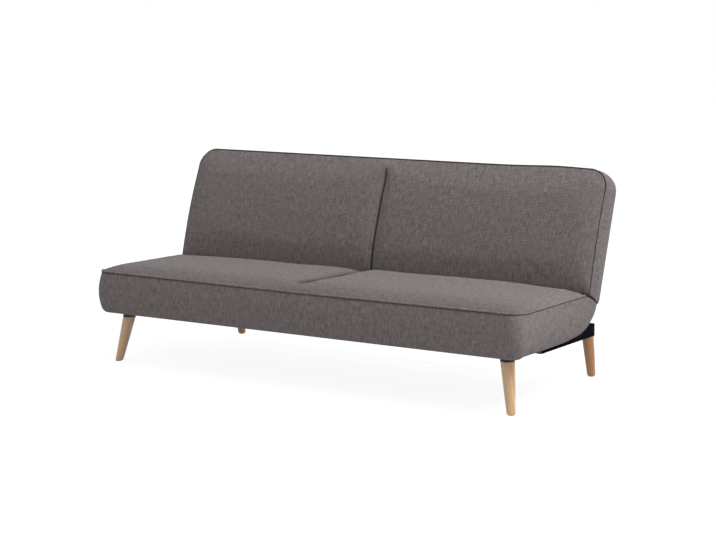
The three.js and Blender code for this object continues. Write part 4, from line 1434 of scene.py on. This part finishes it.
def dress_cad_nodes(finishes: Finishes) -> None:
    """Give every CAD node the finish of what it is made of."""
    for material, starts in (
            (finishes.pine, ("seat_frame", "seat_rail_bearer", "back_frame", "back_hinge_post")),
            (finishes.zinc, ("seat_spring", "leg_bolt", "hinge_pivot_bolt", "pawl_pin")),
            (finishes.webbing, ("back_webbing",)), (finishes.nylon, ("foot_glide",)),
            (finishes.coated, ("ratchet_pawl",))):
        for name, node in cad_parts.items():
            if name.startswith(starts):
                node.data.materials.clear()
                node.data.materials.append(material)


@dataclass
class Studio:
    """A white room with one large soft lamp to the right and the camera."""

    lens: float = 95.64
    sensor: float = 36.0
    azimuth: float = 34.528
    elevation: float = 8.871
    roll: float = -0.623
    camera_place: tuple[float, float, float] = (3.881, -5.5989, 1.4325)
    floor_radius: float = 14.0
    floor_glow: float = 0.90
    paper: str = "cacaca"
    shown_paper: str = "7e7e7e"
    sky: float = 0.625
    key_power: float = 355.0
    key_size: float = 3.4
    key_place: tuple[float, float, float] = (4.1, 0.4, 5.7)
    key_aim: tuple[float, float, float] = (0.2, 0.0, 0.4)

    def build(self) -> None:
        """Set up the floor, the world, the lamps and the camera."""
        self.build_camera()
        self.build_floor()
        self.build_world()
        self.build_lamp()
        bpy.context.scene.view_settings.view_transform = "Standard"

    def build_camera(self) -> None:
        """Stand the camera where the photograph was taken from."""
        azimuth, elevation, roll = map(math.radians, (self.azimuth, self.elevation, self.roll))
        back = Vector((math.sin(azimuth) * math.cos(elevation),
                       -math.cos(azimuth) * math.cos(elevation), math.sin(elevation)))
        right = Vector((math.cos(azimuth), math.sin(azimuth), 0.0))
        up = back.cross(right)
        across = right * math.cos(roll) + up * math.sin(roll)
        upright = -right * math.sin(roll) + up * math.cos(roll)
        data = bpy.data.cameras.new("camera")
        data.lens, data.sensor_width, data.sensor_fit = self.lens, self.sensor, "AUTO"
        camera = bpy.data.objects.new("camera", data)
        turn = Matrix((across, upright, back)).transposed().to_4x4()
        camera.matrix_world = Matrix.Translation(self.camera_place) @ turn
        bpy.context.scene.collection.objects.link(camera)
        bpy.context.scene.camera = camera

    @staticmethod
    def shown(tree: Tree, lighting: bpy.types.Node, seen: bpy.types.Node) -> Socket:
        """Light the room with one shader, and show the other one.

        Args:
            tree: The node tree.
            lighting: The shader that lights the sofa.
            seen: The shader for camera, glossy and transmission rays.

        Returns:
            The mixed shader's socket.
        """
        path = add_node(tree, "ShaderNodeLightPath").outputs
        ray = path["Is Camera Ray"]
        for kind in ("Is Glossy Ray", "Is Transmission Ray"):
            ray = add_node(tree, "ShaderNodeMath", {0: ray, 1: path[kind]},
                           operation="MAXIMUM").outputs[0]
        return add_node(tree, "ShaderNodeMixShader", {0: ray, 1: lighting.outputs[0],
                        2: seen.outputs[0]}).outputs[0]

    def build_floor(self) -> None:
        """Lay a pale floor that shows white and keeps a soft shadow."""
        work = bmesh.new()
        bmesh.ops.create_circle(work, cap_ends=True, segments=128, radius=self.floor_radius)
        floor = new_object("floor", mesh_of(work, "floor"))
        material = bpy.data.materials.new("white_paper")
        tree = fresh_tree(material)
        paper = add_node(tree, "ShaderNodeBsdfDiffuse", {"Color": linear(self.paper)})
        glow = add_node(tree, "ShaderNodeEmission", {"Color": linear("ffffff"),
                        "Strength": self.floor_glow})
        tinted = add_node(tree, "ShaderNodeBsdfDiffuse", {"Color": linear(self.shown_paper)})
        lit = add_node(tree, "ShaderNodeAddShader", {0: glow.outputs[0], 1: tinted.outputs[0]})
        add_node(tree, "ShaderNodeOutputMaterial", {"Surface": self.shown(tree, paper, lit)})
        floor.data.materials.append(material)

    def build_world(self) -> None:
        """Light the room evenly, and show it white to the camera."""
        world = bpy.data.worlds.new("studio")
        bpy.context.scene.world = world
        tree = fresh_tree(world)
        fill, white = (add_node(tree, "ShaderNodeBackground", {"Color": linear("ffffff"),
                                "Strength": strength}) for strength in (self.sky, 1.0))
        add_node(tree, "ShaderNodeOutputWorld", {"Surface": self.shown(tree, fill, white)})

    def build_lamp(self) -> None:
        """Hang one large soft lamp above the sofa's right end."""
        data = bpy.data.lights.new("key", "AREA")
        data.shape, data.size = "DISK", self.key_size
        data.energy = self.key_power
        lamp = bpy.data.objects.new("key", data)
        lamp.location = self.key_place
        aim = Vector(self.key_aim) - lamp.location
        lamp.rotation_mode = "QUATERNION"
        lamp.rotation_quaternion = aim.to_track_quat("-Z", "Y")
        bpy.context.scene.collection.objects.link(lamp)


def linings(seat: SeatCushion, back: BackCushion) -> tuple[StapledLining, StapledLining]:
    """Set out the two stapled cloths.

    Args:
        seat: The seat that the dust cover closes from below.
        back: The backrest that the rear lining lies in.

    Returns:
        The dust cover under the seat and the backrest's rear lining.
    """
    cos, sin = math.cos(back.tilt), math.sin(back.tilt)
    return (
        StapledLining("dust_cover_cloth", "seat_dust_cover", seat,
                      (0.0, FRONT_WELT + 0.18125, 0.2000), (0.0, 1.0, 0.0), (0.0, 0.0, -1.0),
                      width=1.7090, length=0.2715, sag=0.0016),
        StapledLining("rear_lining_cloth", "back_lining", back,
                      back.in_frame(0.0, 0.0719, 0.20725), (0.0, sin, cos), (0.0, cos, -sin),
                      width=1.7150, length=0.3235, sag=0.0012),
    )


def main() -> None:
    """Build the studio and the sofa bed, piece by piece."""
    logging.basicConfig(level=logging.INFO, format="%(name)s: %(message)s")
    Studio().build()
    finishes = Finishes.build()
    seat, back = SeatCushion(), BackCushion()
    seat.build(finishes)
    back.build(finishes)
    for lining in linings(seat, back):
        lining.build(finishes)
    Base().build(finishes)
    dress_cad_nodes(finishes)


if __name__ == "__main__":
    main()
